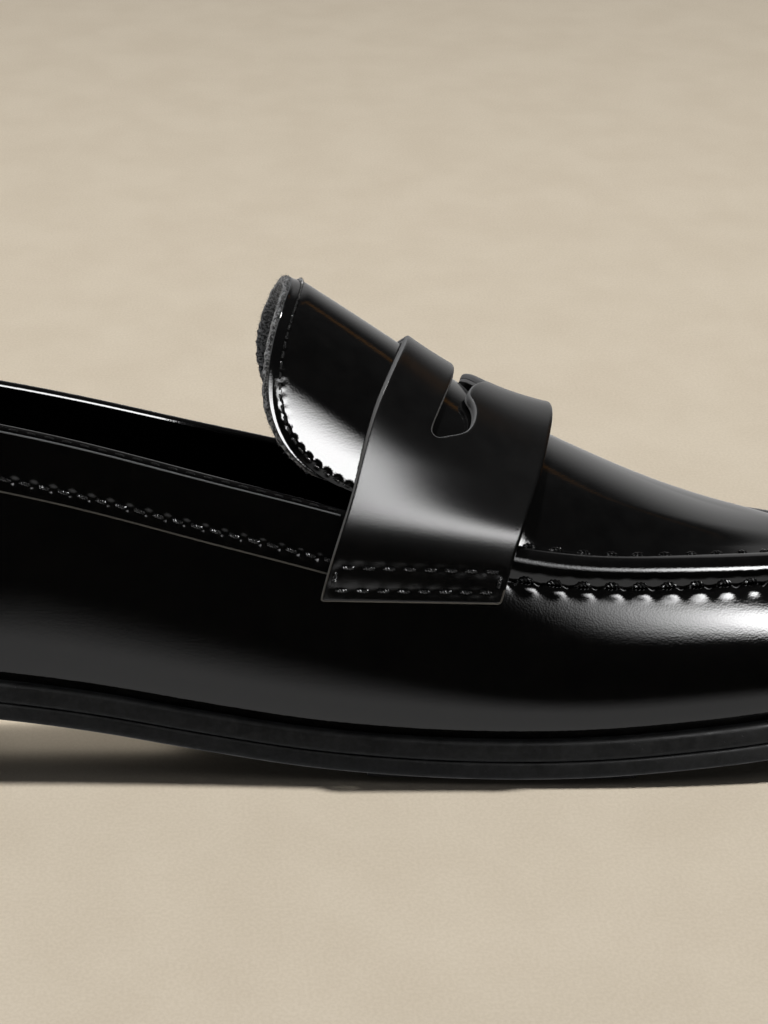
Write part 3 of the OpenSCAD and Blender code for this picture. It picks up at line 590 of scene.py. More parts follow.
OUTSOLE_EDGE = [(1.6, 0), (0.9, 0.03), (0.5, 0.12), (0.2, 0.3), (0.05, 0.6), (0, 1.0), (0, 2.7), (0.03, 3.05),
                (0.12, 3.3), (0.3, 3.47), (0.6, 3.54), (1.2, 3.56)]
MIDSOLE_EDGE = [(1.3, 3.62), (0.6, 3.64), (0.3, 3.7), (0.12, 3.85), (0.02, 4.1), (0, 4.5), (0, 6.6),
                (0.04, 6.95), (0.15, 7.3), (0.35, 7.58), (0.65, 7.78), (1.0, 7.88), (1.6, 7.9), (4, 7.9)]
piece("outsole_edge", *layer(OUTSOLE_EDGE), material=OUTSOLE, slot="sole_rubber", replaces=["outsole"])
piece("midsole_edge", *layer(MIDSOLE_EDGE), material=MIDSOLE, slot="midsole", replaces=["midsole"])


def heel_ring(inset, z=None, h=0.0, count=90):
    """Plan ring of the heel: back, medial side, hollow breast, lateral side."""
    med = rim(np.linspace(0, HEEL_U, count), inset, h)
    lat = rim(ROUND - np.linspace(HEEL_U, 0, count), inset, h)[:-1]
    t = np.linspace(0, 1, 42)[1:-1, None]
    breast = med[-1] * (1 - t) + lat[0] * t
    hollow = 2.5 * np.minimum(1, 4 * t * (1 - t) * 1.6)[:, 0]
    breast[:, 0] -= hollow * smooth(0, 0.5, np.minimum(t, 1 - t)[:, 0] * 2)
    breast[:, 2] = edge_z(breast[:, 0]) + h
    ring = np.concatenate([med, breast, lat])
    if z is not None:
        ring[:, 2] = z
    return ring


def heel_stack():
    """Painted leather lifts: a faint groove runs round between them."""
    rings = []
    top = heel_ring(0.75, h=-0.02)
    for t in np.linspace(0, 1, 49):
        inset = 1.6 - 0.85 * t + 0.25 * math.sin(math.pi * t)
        groove = 0.09 * math.exp(-(((t * 4) % 1 - 0.5) / 0.06) ** 2) if 0.05 < t < 0.95 else 0
        ring = heel_ring(inset + groove)
        ring[:, 2] = LIFT_T + 0.02 + (top[:, 2] - LIFT_T - 0.02) * t
        rings.append(ring)
    return stack(np.stack(rings))


piece("heel_stack_lifts", *heel_stack(), material=HEEL, slot="heel_stack", replaces=["heel_block"])
LIFT_PROFILE = [(2.4, 0.0), (1.95, 0.05), (1.72, 0.25), (1.62, 0.6), (1.6, 1.2), (1.6, 4.3), (1.66, 4.7),
                (1.85, 4.92), (2.3, 4.98)]
piece("top_lift_rubber", *stack(np.stack([heel_ring(i, z) for i, z in LIFT_PROFILE])), material=LIFT,
      slot="top_lift", replaces=["heel_top_lift"])


def tread():
    """Forepart insert, ribbed across where it meets the floor."""
    us = np.linspace(4, TOE, 1300)
    med, lat = rim(us, 6, 0), rim(ROUND - us, 6, 0)
    xs = np.linspace(150, 203, 213)
    across = np.linspace(0, 1, 61)
    y0, y1 = np.interp(xs, med[:, 0], med[:, 1]), np.interp(xs, lat[:, 0], lat[:, 1])
    y = y0[:, None] * (1 - across) + y1[:, None] * across
    x = np.broadcast_to(xs[:, None], y.shape)
    wave = (x + 1.6 * np.cos(y / 9)) / 3.4
    side = np.minimum(across, 1 - across)[None, :] * (y1 - y0)[:, None]
    end = np.minimum(xs - xs[0], xs[-1] - xs)[:, None]
    rib = smooth(0.25, 0.4, np.abs(wave % 1 - 0.5)) * smooth(0.5, 1.5, side) * smooth(0.5, 1.5, end)
    low = np.stack([x, y, 0.8 * rib], -1)
    high = np.stack([x, y, np.full(x.shape, 2.2)], -1)
    return shell(high, low)


piece("tread_ribs", *tread(), material=TREAD, slot="tread_rubber", replaces=["tread_insert"])

# ---- inside of the shoe ---------------------------------------------------
board_h = SOLE_T + UPPER_T + GAP
sock_h = board_h + GAP + BOARD_T


def inner_layer(name, inset, low, high, mat, slot, node_name):
    """Flat layer inside the shoe with a softened upper edge."""
    r = 0.4
    profile = [(inset + 0.3, low), (inset, low + 0.2), (inset, high - r), (inset + 0.3 * r, high - 0.3 * r),
               (inset + r, high)]
    piece(name, *layer(profile), material=mat, slot=slot, replaces=[node_name])


inner_layer("insole_fibre", REVEAL + 2.7, board_h, board_h + BOARD_T, BOARD, "board", "insole_board")
inner_layer("sock_leather_liner", REVEAL + 3.2, sock_h, sock_h + SOCK_T, SOCK, "sock_leather", "sock_liner")
pad_h = sock_h + GAP + SOCK_T
PAD_PROFILE = [(8.2, 0), (7.6, 0.15), (7.5, 0.5), (7.6, 0.9), (8.0, 1.3), (8.8, 1.6), (10.2, 1.76), (12, 1.8)]
piece("heel_pad_cushion", *stack(np.stack([heel_ring(i, h=pad_h + z) for i, z in PAD_PROFILE])),
      material=SOCK, slot="sock_leather", replaces=["heel_pad"])


def stiff(u, w):
    """1 where the heel counter or the toe puff lies between upper and lining."""
    v = np.minimum(u % ROUND, ROUND - u % ROUND)
    return (1 - smooth(0.74, 0.86, w)) * np.maximum(1 - smooth(3.6, 4.3, v), smooth(14.2, 14.9, v))


ROLL_R, ROLL_DEPTH, ROLL_DROP = 1.25, 1.06, 0.12


def roll(u, angle, r):
    """Point on the lining's roll over the top line: angle 0 inside, 90 on top, 180 outside."""
    up, n = unit(wall(u, 1) - wall(u, 0.95)), wall_out(u, 1)
    a = np.asarray(np.radians(angle))[..., None]
    return wall(u, 1) - n * ROLL_DEPTH - up * ROLL_DROP + (np.sin(a) * up - np.cos(a) * n) * r


def lining(us, ws, rolled=False):
    """Closed lining inside the upper; the quarter's is rolled outwards over the top line."""
    u, w = np.meshgrid(us, ws, indexing="ij")
    base, n = wall(u, w), wall_out(u, w)
    depth = (UPPER_T + GAP + stiff(u, w) * (STIFF_T + GAP))[..., None]
    near, far = base - n * depth, base - n * (depth + LINING_T)
    if rolled:
        u2, a = np.meshgrid(us, np.linspace(0, 205, 22), indexing="ij")
        near = np.concatenate([near, roll(u2, a, ROLL_R - 0.6)], 1)
        far = np.concatenate([far, roll(u2, a, ROLL_R)], 1)
    return shell(near, far)


quarters = [piece(name, *lining(np.linspace(u0, u1, 230), np.linspace(0.16, 0.992, 26), True),
                  material=LINING, slot="lining_leather", replaces=["quarter_lining"], sharp=60)
            for name, u0, u1 in (("quarter_lining_lateral", -9.5, -0.002),
                                 ("quarter_lining_medial", 0.002, 9.5))]
piece("vamp_lining_leather", *lining(np.linspace(9.6, ROUND - 9.6, 320), np.linspace(0.16, 0.95, 16)),
      material=LINING, slot="lining_leather", replaces=["vamp_lining"])

# ---- seams ----------------------------------------------------------------
def thread(starts, stops, normals, r, lift=0.75, turns=2.3, sides=6, rings=13):
    """Two-ply thread, one arched stitch from each start to each stop, its ends sunk in the leather."""
    t = np.linspace(0, 1, rings)
    a, b, n = (np.asarray(v, float)[:, None, :] for v in (starts, stops, normals))
    along = unit(b - a)
    side = unit(np.cross(along, n))
    rise = (r * (lift + 2.1) * (1 - np.abs(2 * t - 1) ** 3.2) - 2.1 * r)[None, :, None]
    mid = a + (b - a) * t[None, :, None] + n * rise
    pts, quads, start = [], [], 0
    phase = np.arange(len(starts)) * 0.9
    for strand in (0, math.pi):
        angle = (2 * math.pi * turns * t)[None, :] + strand + phase[:, None]
        centre = mid + 0.5 * r * (np.cos(angle)[..., None] * n + np.sin(angle)[..., None] * side)
        ring = 2 * math.pi * np.arange(sides) / sides
        taper = (0.45 + 0.55 * np.sqrt(np.sin(math.pi * (0.06 + 0.88 * t))))[None, :, None, None]
        across = (np.cos(ring)[None, None, :, None] * n[:, :, None, :]
                  + np.sin(ring)[None, None, :, None] * side[:, :, None, :])
        tube = centre[:, :, None, :] + 0.56 * r * taper * across
        for s in tube:
            f = [grid_faces(rings, sides, False, True, start)]
            for e in (0, (rings - 1) * sides):
                f.append(start + e + np.array([[0, 1, 4, 5], [1, 2, 3, 4]]))
            quads.append(np.concatenate(f))
            start += rings * sides
        pts.append(tube.reshape(-1, 3))
    return np.concatenate(pts), np.concatenate(quads)


def seam(name, node_name, stitches, *shape, body="shoe"):
    """Piece of thread along a row of stitches; shape is what thread() takes after them."""
    return piece(name, *thread(*stitches[:3], *shape), material=THREAD, body=body, slot="thread",
                 replaces=[node_name])


def stitch_row(path, normals, pitch, gap, slant=0.0):
    """Starts, stops and normals of evenly spaced stitches along a path, and where their holes are."""
    s = arc_length(path)
    count = max(1, round(s[-1] / pitch))
    step = s[-1] / count
    i = np.arange(count)
    first, last = (picked((i + part) * step, s, path) for part in (gap / 2, 1 - gap / 2))
    n = unit(picked((i + 0.5) * step, s, normals))
    lean = unit(np.cross(n, unit(last - first))) * slant
    return first + lean, last - lean, n, np.arange(count + 1) * step


def holes(s, pitch_s, width):
    """1 at each stitch hole, falling off along the seam over width."""
    d = np.min(np.abs(s[..., None] - pitch_s), axis=-1)
    return np.exp(-(d / width) ** 2)


# ---- apron seam: lower and upper creases of the rolled ridge --------------
RIDGE_FROM = 9.88                # station where the ridge starts, under the strap
RIDGE_LOW = 2.9                  # its lower crease below the top line, along the wall
seam_u = np.linspace(RIDGE_FROM, ROUND - RIDGE_FROM, 2400)


def crease_low(u):
    """Point on the wall at the ridge's lower crease, and the direction out of the wall there."""
    h = top_handle(u)
    w = 1 - RIDGE_LOW / (3 * np.hypot(h[..., 0], h[..., 1]))
    return wall(u, w), wall_out(u, w)


def apron_uv(u):
    """Apron section and side that meet the top line at station u."""
    s = np.minimum(u, ROUND - u)
    return 4 + (APRON_END - 4) * (s - 10) / (TOE - 10), np.where(u < TOE, -1.0, 1.0)


low_path, low_n = crease_low(seam_u)
seam_s = arc_length(low_path)
up_v, up_side = apron_uv(seam_u)
up_path = apron(np.clip(up_v, 0, APRON_END - 0.02), up_side * APRON_SIDE)
EVEN = 30                        # neighbours on each side over which the upper crease is evened out
share = np.ones(2 * EVEN + 1) / (2 * EVEN + 1)
up_path = np.stack([np.convolve(np.pad(axis, EVEN, mode="edge"), share, "valid") for axis in up_path.T], -1)
LOW_PITCH, UP_PITCH = 5.7, 5.5
low_stitch = stitch_row(low_path + low_n * 0.1, unit(low_n + 0.5 * UP), LOW_PITCH, 0.34)
low_holes = low_stitch[3]


def seam_pos(u):
    """Distance along the seam at station u."""
    return np.interp(u, seam_u, seam_s)


def ridge():
    """The rolled ridge of the apron seam, pinched in at each stitch of its lower crease."""
    us = np.interp(np.linspace(0, seam_s[-1], 900), seam_s, seam_u)
    low, _ = crease_low(us)
    high = picked(us, seam_u, up_path)
    out = outward(us)
    chord = high - low
    half = np.linalg.norm(chord, axis=-1, keepdims=True) / 2
    along = unit(chord)
    tangent = unit(np.gradient(low, axis=0))
    bulge = unit(np.cross(tangent, along))
    bulge = np.where(np.sum(bulge * (out + UP), -1, keepdims=True) < 0, -bulge, bulge)
    bulge = unit(bulge + 0.75 * UP)
    mid = (low + high) / 2
    ang = np.linspace(0, 2 * math.pi, 48, endpoint=False)
    pinch = holes(seam_pos(us), low_holes, 0.85)[:, None, None]
    rows = []
    for a in ang:
        c, s = math.cos(a), math.sin(a)
        x = -np.sign(c) * abs(c) ** 0.9
        y = (2.75 * (1 - 0.4 * max(0.0, -c)) if s > 0 else 1.1) * np.sign(s) * abs(s) ** 0.85
        near_low = max(0.0, c) ** 12 if s > -0.2 else 0
        squeeze = 0.42 * near_low * pinch[:, 0]
        swell = 0.14 * near_low * (1 - pinch[:, 0])
        rows.append(mid + along * half * x + bulge * (y - squeeze + swell) - bulge * 0.25)
    return loops(np.stack(rows, 1))


piece("apron_ridge_roll", *ridge(), material=BLACK, slot="upper_leather", replaces=["apron_ridge"], sharp=70)


def depth_below(u, w):
    """Millimetres from the top line down to w, along the wall."""
    return (1 - w) * np.linalg.norm(wall(u, 1) - wall(u, 0.9), axis=-1) * 10


TOP_R = 0.45                     # radius of the upper's top edge


def wall_points():
    """The upper as closed sections: outer face, rolled top edge, inner face, turned-in margin."""
    us = np.concatenate([np.linspace(-9.7, 9.7, 380, endpoint=False),
                         np.linspace(9.7, ROUND - 9.7, 720, endpoint=False)])
    w_out = np.concatenate([[0.0, 0.012, 0.03, 0.05, 0.075], np.linspace(0.1, 0.62, 24),
                            np.linspace(0.64, 0.985, 32), [0.99, 0.995, 0.998, 1]])
    w_in = np.array([1, 0.995, 0.97, 0.9, 0.8, 0.65, 0.5, 0.35, 0.22, 0.12, 0.06])
    u, w = np.meshgrid(us, w_out, indexing="ij")
    p, n = wall(u, w), wall_out(u, w)
    d = depth_below(u, w)
    front = smooth(9.6, 10.1, np.minimum(u % ROUND, ROUND - u % ROUND))
    below = d - RIDGE_LOW
    s = seam_pos(u)
    hole = holes(s, low_holes, 0.95)
    mid = holes(s, low_holes[:-1] + LOW_PITCH / 2, 1.5)
    dent = (-0.55 * hole * np.exp(-(below / 1.5) ** 2) + 0.16 * mid * np.exp(-((below - 1.9) / 1.0) ** 2)
            - 0.30 * np.exp(-(below / 0.7) ** 2)) * front
    outer = p + n * (dent - rounded(d, TOP_R))[..., None]
    u2, w2 = np.meshgrid(us, w_in, indexing="ij")
    inner = wall(u2, w2) - wall_out(u2, w2) * (UPPER_T - rounded(depth_below(u2, w2), TOP_R))[..., None]
    margin = [rim(us, REVEAL + inset, h) for inset, h in ((2.2, SOLE_T + UPPER_T), (11, SOLE_T + UPPER_T),
                                                          (11, SOLE_T + GAP), (0.9, SOLE_T + GAP))]
    return loops(np.concatenate([outer, inner, np.stack(margin, 1)], 1), True)


piece("upper_side_wall", *wall_points(), material=BLACK, slot="upper_leather", replaces=["side_wall"],
      sharp=60)
seam("apron_seam_lower_thread", "apron_stitches_lower", low_stitch, 0.5)
up_normal = unit(0.75 * UP - 0.15 * outward(seam_u))
up_stitch = stitch_row(up_path + UP * 0.25 + outward(seam_u) * 0.1, up_normal, UP_PITCH, 0.36)
seam("apron_seam_upper_thread", "apron_stitches_upper", up_stitch, 0.42)


# ---- collar band, back stay ----------------------------------------------
def band_low(u):
    """Share of the wall's height at the band's lower edge."""
    return 1 - BAND_W / np.linalg.norm(wall(u, 1) - wall(u, 0.75), axis=-1) * 0.25


COLLAR_PITCH, TOPLINE_PITCH, COLLAR_INSET = 3.9, 3.6, 2.7
BAND_OFF, BAND_TOP = 0.1, 0.997  # how far the band stands off the wall, and its upper edge on the wall
CUT_R = 0.42                     # how far a bare cut edge shows
band_u = np.linspace(-BAND_END, BAND_END, 1600)


def band_at(u, from_low, off):
    """Point on the collar band, from_low millimetres above its lower edge and off the wall."""
    w = band_low(u) + (BAND_TOP - band_low(u)) * from_low / BAND_W
    return wall(u, w) + wall_out(u, w) * np.asarray(off, float)[..., None]


def band():
    """The collar band, dimpled along its stitching."""
    us, t = np.linspace(-BAND_END, BAND_END, 700), ends(26, BAND_W)
    u, x = np.meshgrid(us, t, indexing="ij")
    row = band_at(band_u, COLLAR_INSET, BAND_OFF + BAND_T)
    s = np.interp(u, band_u, arc_length(row))
    d = np.minimum(x, BAND_W - x)
    x0 = x - COLLAR_INSET
    dent = (0.33 * holes(s, collar_stitch[3], 0.75) * np.exp(-(x0 / 0.85) ** 2)
            + 0.1 * np.exp(-(x0 / 0.7) ** 2))
    upper = band_at(u, x, BAND_OFF + BAND_T - rounded(d, CUT_R) - dent)
    lower = band_at(u, x, BAND_OFF)
    return *shell(upper, lower), (), smooth(CUT_R, 0.22, d)


row_n = wall_out(band_u, band_low(band_u))
collar_stitch = stitch_row(band_at(band_u, COLLAR_INSET, BAND_OFF + BAND_T), row_n, COLLAR_PITCH, 0.3, 0.16)
piece("collar_band_leather", *band(), material=BLACK, slot="upper_leather", replaces=["collar_band"])
seam("collar_thread", "collar_stitches", collar_stitch, 0.44)
TOPLINE_ANGLE = 153.0            # where round the roll the top line's thread lies
topline = stitch_row(roll(band_u, TOPLINE_ANGLE, ROLL_R + 0.02),
                     unit(roll(band_u, TOPLINE_ANGLE, 2.0) - roll(band_u, TOPLINE_ANGLE, 1.0)),
                     TOPLINE_PITCH, 0.3)
seam("topline_thread", "topline_stitches", topline, 0.2, 0.4, 3.2)

STAY_HALF, STAY_LOW = 0.6, 0.06  # half width in stations, and height of its lower end on the wall


def stay():
    """The back stay, a strip up the middle of the heel."""
    us, t = np.linspace(-STAY_HALF, STAY_HALF, 60), np.linspace(0, 1, 60)
    u, x = np.meshgrid(us, t, indexing="ij")
    w = STAY_LOW + (band_low(u) - 0.02 - STAY_LOW) * x
    d = (STAY_HALF - np.abs(u)) * 15
    n = wall_out(u, w)
    upper = wall(u, w) + n * (BAND_T + BAND_OFF - rounded(d, 0.3))[..., None]
    lower = wall(u, w) + n * BAND_OFF
    return *shell(upper, lower), (), (d < 0.02).astype(float)


piece("back_stay_leather", *stay(), material=BLACK, slot="upper_leather", replaces=["back_stay"])
rows = []
for u0 in (-0.45, 0.45):
    w = STAY_LOW + (band_low(u0) - 0.02 - STAY_LOW) * np.linspace(0.03, 0.97, 200)
    n = wall_out(u0, w)
    rows.append(stitch_row(wall(u0, w) + n * (BAND_T + BAND_OFF), n, TOPLINE_PITCH, 0.3))
seam("back_stay_thread", "back_stay_stitches", [np.concatenate([r[k] for r in rows]) for k in range(3)], 0.26)


# ---- apron and tongue: one piece of leather -------------------------------
FLAP_RUN, FLAP_POWER = 2.0, 0.476    # stations taken up by the tongue's curved end, and how round it is


def flap_start(a):
    """Apron station where the tongue's end lies at side a."""
    return FLAP_RUN * (1 - (1 - np.abs(a) ** 3) ** FLAP_POWER)


def flap_slope(a):
    b = np.clip(np.abs(a), 0, 0.9995)
    return FLAP_RUN * FLAP_POWER * 3 * b * b * (1 - b ** 3) ** (FLAP_POWER - 1)


def edge_distance(v, a):
    """Millimetres from the tongue's cut edge."""
    lv = np.linalg.norm(apron(v + 0.02, a) - apron(v - 0.02, a), axis=-1) / 0.04
    b = np.clip(a, -0.98, 0.98)
    la = np.linalg.norm(apron(v, b + 0.01) - apron(v, b - 0.01), axis=-1) / 0.02
    return np.maximum(v - flap_start(a), 0) / np.sqrt(1 / lv ** 2 + (flap_slope(a) / la) ** 2)


TONGUE_PITCH, TONGUE_INSET, PLUG_HOLLOW = 2.3, 2.3, 1.15
edge_a = spaced(86.5, 1500)


def tongue_row(inset):
    """Path at a set distance inside the tongue's edge, from one side round to the other."""
    v = np.clip(flap_start(edge_a), 0, 1.95)
    for _ in range(40):
        v = np.clip(v + (inset - edge_distance(v, edge_a)) * 0.03, 0, 2.6)
    return apron(v, edge_a), apron_out(v, edge_a), v


row, row_n, row_v = tongue_row(TONGUE_INSET)
keep = row_v < 2.2
tongue_stitch = stitch_row(row[keep] + row_n[keep] * 0.02, row_n[keep], TONGUE_PITCH, 0.3)
pits = tongue_row(TONGUE_INSET + 0.45)[0][keep]
hole_pts = picked(tongue_stitch[3], arc_length(row[keep]), pits)


def near_holes(points, centres, width, reach):
    """1 at each centre, falling off with distance; only points within reach are tested."""
    out = np.zeros(points.shape[:-1])
    flat, res = points.reshape(-1, 3), out.reshape(-1)
    lo, hi = centres.min(0) - reach, centres.max(0) + reach
    ids = np.nonzero(np.all((flat > lo) & (flat < hi), axis=1))[0]
    for c in np.array_split(ids, max(1, len(ids) // 4000)):
        d = np.linalg.norm(flat[c][:, None] - centres[None], axis=-1).min(1)
        res[c] = np.exp(-(d / width) ** 2)
    return res.reshape(out.shape)


def apron_grid(fine, run, steps, power, v_end, count_a, ahead=0.0):
    """Stations and sides of a sheet from the tongue's end to v_end: the fine rows, then steps over run."""
    a = APRON_SIDE * spaced(90, count_a)
    start = np.minimum(flap_start(a), FLAP_RUN) - ahead
    t = np.concatenate([fine, fine[-1] + run * np.linspace(0, 1, steps)[1:] ** power])
    v = start[None, :] + (v_end - start[None, :]) * (t / t[-1])[:, None]
    return v, np.broadcast_to(a, v.shape)


def apron_sheet():
    """Apron and tongue in one: rounded cut edge, stitched border, plug hollowed in front of the strap."""
    v, a = apron_grid([0, 0.004, 0.011, 0.022, 0.04, 0.065], APRON_END - 0.065, 335, 1.12, APRON_END, 141)
    p, n = apron(v, a), apron_out(v, a)
    n[-1, :, 1] = 0                  # both halves meet along the middle of the toe
    n = unit(n)
    d = edge_distance(v, a)
    hole = near_holes(p, hole_pts, 0.7, 3)
    free = smooth(2.6, 1.9, v)
    border = (0.2 * smooth(TONGUE_INSET + 0.6, TONGUE_INSET - 0.05, d)
              + 0.45 * np.clip((TONGUE_INSET - d) / 1.5, 0, 1))
    # the plug falls away from the strap's front edge and rises again towards the toe
    hollow = PLUG_HOLLOW * smooth(4.2, 5.05, v) * smooth(8.8, 5.05, v) * smooth(0.45, 0.8, np.abs(a))
    hollow = hollow * smooth(0.999, 0.95, np.abs(a))
    dent = (0.24 * hole + border) * free + hollow
    upper = p - n * (rounded(d, 0.3) + dent)[..., None]
    lower = p - n * UPPER_T
    return *shell(upper, lower), (), smooth(0.2, 0.08, d) * (v < 2.3)


apron_piece = piece("apron_and_tongue", *apron_sheet(), material=BLACK, body=None, slot="upper_leather",
                    replaces=["apron", "tongue"])


FELT_PROUD = 0.055               # apron stations by which the felt stands out beyond the leather
FELT_END = 3.2                   # and the station where it ends, under the strap


def beyond(v, a):
    """The tongue's surface carried straight on past its upper end."""
    inside = np.maximum(v, 0.0)
    slope = (apron(inside + 0.05, a) - apron(inside, a)) / 0.05
    return apron(inside, a) + slope * (v - inside)[..., None]


def felt_sheet():
    """Thick felt under the tongue, its cut edge frayed."""
    v, a = apron_grid([0, 0.008, 0.02, 0.035, 0.05, 0.07], 3.1, 90, 1.3, FELT_END, 241, FELT_PROUD)
    p, n = beyond(v, a), apron_out(np.maximum(v, 0), a)
    d = edge_distance(v + FELT_PROUD, a)
    rng = np.random.default_rng(7)
    lumps = rng.normal(0, 1, (2,) + v.shape)
    for k in range(2):
        lumps[k] = (lumps[k] + np.roll(lumps[k], 1, 1) + np.roll(lumps[k], -1, 1)) / 3
    edge_dir = unit(beyond(v - 0.1, a) - beyond(v + 0.1, a * 0.97))
    frayed = 0.24 * np.exp(-(d / 0.55) ** 2)
    out = edge_dir * (lumps[0] * frayed)[..., None]
    # beyond the leather the felt swells up to just under the leather's own face
    swell = 0.75 * smooth(1.15, 0.85, d) * smooth(2.4, 2.0, v)
    over = UPPER_T + GAP - swell + rounded(d, 0.5) + 0.1 * lumps[1] * smooth(1.3, 1.0, d)
    under = UPPER_T + GAP + FELT_T - rounded(d, 1.1) + 0.05 * lumps[0]
    upper, lower = (p - n * depth[..., None] + out for depth in (over, under))
    return shell(upper, lower)


def fibres(count=2600):
    """Short stray fibres round the felt's cut edge."""
    rng = np.random.default_rng(11)
    a = 0.98 * np.sin(np.radians(rng.uniform(-88, 88, count)))
    v = np.minimum(flap_start(a), FLAP_RUN) - FELT_PROUD + rng.uniform(0.0, 0.07, count)
    p, n = beyond(v, a), apron_out(np.maximum(v, 0), a)
    edge_dir = unit(beyond(v - 0.1, a) - beyond(v + 0.1, a * 0.97))
    root = p - n * rng.uniform(UPPER_T - 0.6, UPPER_T + FELT_T - 0.2, count)[:, None] - edge_dir * 0.2
    way = unit(edge_dir + rng.normal(0, 0.45, (count, 3)))
    length = rng.uniform(0.35, 0.85, count)[:, None]
    bend = rng.normal(0, 0.12, (count, 3))
    side, up = unit(np.cross(way, n)), n
    rings = []
    for t, r in ((0, 0.03), (0.5, 0.022), (1, 0.008)):
        c = root + way * length * t + bend * t * t
        rings.append(np.stack([c + r * (math.cos(k) * side + math.sin(k) * up) for k in (0, 2.1, 4.2)], 1))
    pts = np.stack(rings, 1).reshape(-1, 3)
    quads, tris = [], []
    for i in range(count):
        b = i * 9
        quads += [[b + r * 3 + k, b + r * 3 + (k + 1) % 3, b + r * 3 + 3 + (k + 1) % 3, b + r * 3 + 3 + k]
                  for r in (0, 1) for k in range(3)]
        tris += [[b, b + 2, b + 1], [b + 6, b + 7, b + 8]]
    return pts, quads, tris


felt_piece = piece("tongue_felt", *felt_sheet(), material=FELT, body=None, slot="felt",
                   replaces=["tongue_lining"])
fibre_piece = piece("tongue_felt_fibres", *fibres(), material=FELT, body=None, slot="felt",
                    replaces=["tongue_lining"])
v, a = np.meshgrid(np.linspace(FELT_END + 0.05, 10.0, 120), 0.97 * spaced(90, 61), indexing="ij")
p, n = apron(v, a), apron_out(v, a)
piece("apron_lining_leather", *shell(p - n * (UPPER_T + GAP), p - n * (UPPER_T + GAP + LINING_T)),
      material=LINING, slot="lining_leather", replaces=["apron_lining"])
tongue_thread = seam("tongue_thread", "tongue_stitches", tongue_stitch, 0.25, body=None)
spine = unit(apron(1.2, 0.0) - apron(2.4, 0.0))
for ob in (apron_piece, felt_piece, fibre_piece, tongue_thread):
    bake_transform(ob)


# ---- strap ----------------------------------------------------------------
def slot_loop():
    """The slot's outline on the strap, as strap station and share of the width."""
    half = open_spline(SLOT)(np.linspace(0, len(SLOT) - 1, 110))
    ring = np.concatenate([half, (half * [1, -1])[-2:0:-1]])
    tilt = math.radians(SLOT_TILT)
    c, s = math.cos(tilt), math.sin(tilt)
    axis_x, axis_z = np.array([c, 0, -s]), np.array([s, 0, c])
    target = np.array(SLOT_PLACE) + ring[:, :1] * axis_x + ring[:, 1:] * np.array([0, 1.0, 0])
    p, b = CROWN + ring[:, 1] * 0.16, 0.45 + ring[:, 0] * 0.02
    for _ in range(30):
        here = strap(p, b)
        miss = target - here
        miss -= np.sum(miss * axis_z, -1, keepdims=True) * axis_z
        jp = (strap(p + 0.01, b) - strap(p - 0.01, b)) / 0.02
        jb = (strap(p, b + 0.01) - strap(p, b - 0.01)) / 0.02
        m = np.stack([np.stack([jp @ axis_x, jb @ axis_x], -1), np.stack([jp[:, 1], jb[:, 1]], -1)], -2)
        rhs = np.stack([miss @ axis_x, miss[:, 1]], -1)
        step = np.linalg.solve(m, rhs[..., None])[..., 0]
        p, b = p + np.clip(step[:, 0], -0.5, 0.5), b + np.clip(step[:, 1], -0.1, 0.1)
    return p, b


mid_p = np.linspace(0, 2 * CROWN, 2001)
mid_s = arc_length(strap(mid_p, 0.5))
STRAP_WIDE = 33.5


def strap_st(p, b):
    """The strap laid flat: millimetres along it and across it."""
    return np.stack([np.interp(p, mid_p, mid_s), b * STRAP_WIDE], -1)


def strap_pb(st):
    return np.interp(st[..., 0], mid_s, mid_p), st[..., 1] / STRAP_WIDE


def resample(loop, step):
    """Points step apart round a closed flat loop."""
    closed = np.concatenate([loop, loop[:1]])
    s = arc_length(closed)
    x = np.linspace(0, s[-1], max(8, int(s[-1] / step)), endpoint=False)
    return picked(x, s, closed)


def pulled(loop, d):
    """The loop moved d towards its left-hand side."""
    t = unit(np.roll(loop, -1, 0) - np.roll(loop, 1, 0))
    return loop + np.stack([-t[:, 1], t[:, 0]], -1) * d


def loop_distance(points, loop):
    """Distance of flat points from a closed loop."""
    a, b = loop, np.roll(loop, -1, 0)
    out = []
    for chunk in np.array_split(points, max(1, len(points) // 3000)):
        ab, ap = b - a, chunk[:, None] - a[None]
        t = np.clip(np.sum(ap * ab, -1) / np.sum(ab * ab, -1), 0, 1)
        out.append(np.linalg.norm(ap - ab * t[..., None], axis=-1).min(1))
    return np.concatenate(out)


def area(loop):
    n = np.roll(loop, -1, 0)
    return 0.5 * np.sum(loop[:, 0] * n[:, 1] - n[:, 0] * loop[:, 1])


slot_st = resample(strap_st(*slot_loop()), 0.35)
if area(slot_st) < 0:
    slot_st = slot_st[::-1]
END_R = 0.6                      # corner radius of the strap's ends


def strap_border(inset):
    """Outline of the strap laid flat, moved in by inset, with rounded corners."""
    s1 = mid_s[-1]
    lo, hi = np.array([inset, inset]), np.array([s1 - inset, STRAP_WIDE - inset])
    pts = []
    for cx, cy, a0 in ((lo[0] + END_R, lo[1] + END_R, 180), (hi[0] - END_R, lo[1] + END_R, 270),
                       (hi[0] - END_R, hi[1] - END_R, 0), (lo[0] + END_R, hi[1] - END_R, 90)):
        for a in np.radians(np.linspace(a0, a0 + 90, 7)):
            pts.append([cx + END_R * math.cos(a), cy + END_R * math.sin(a)])
    return np.array(pts)


RIM_STEPS = (0, 0.06, 0.16, 0.3, 0.5, 0.8)    # lines of points beside the strap's cut edges


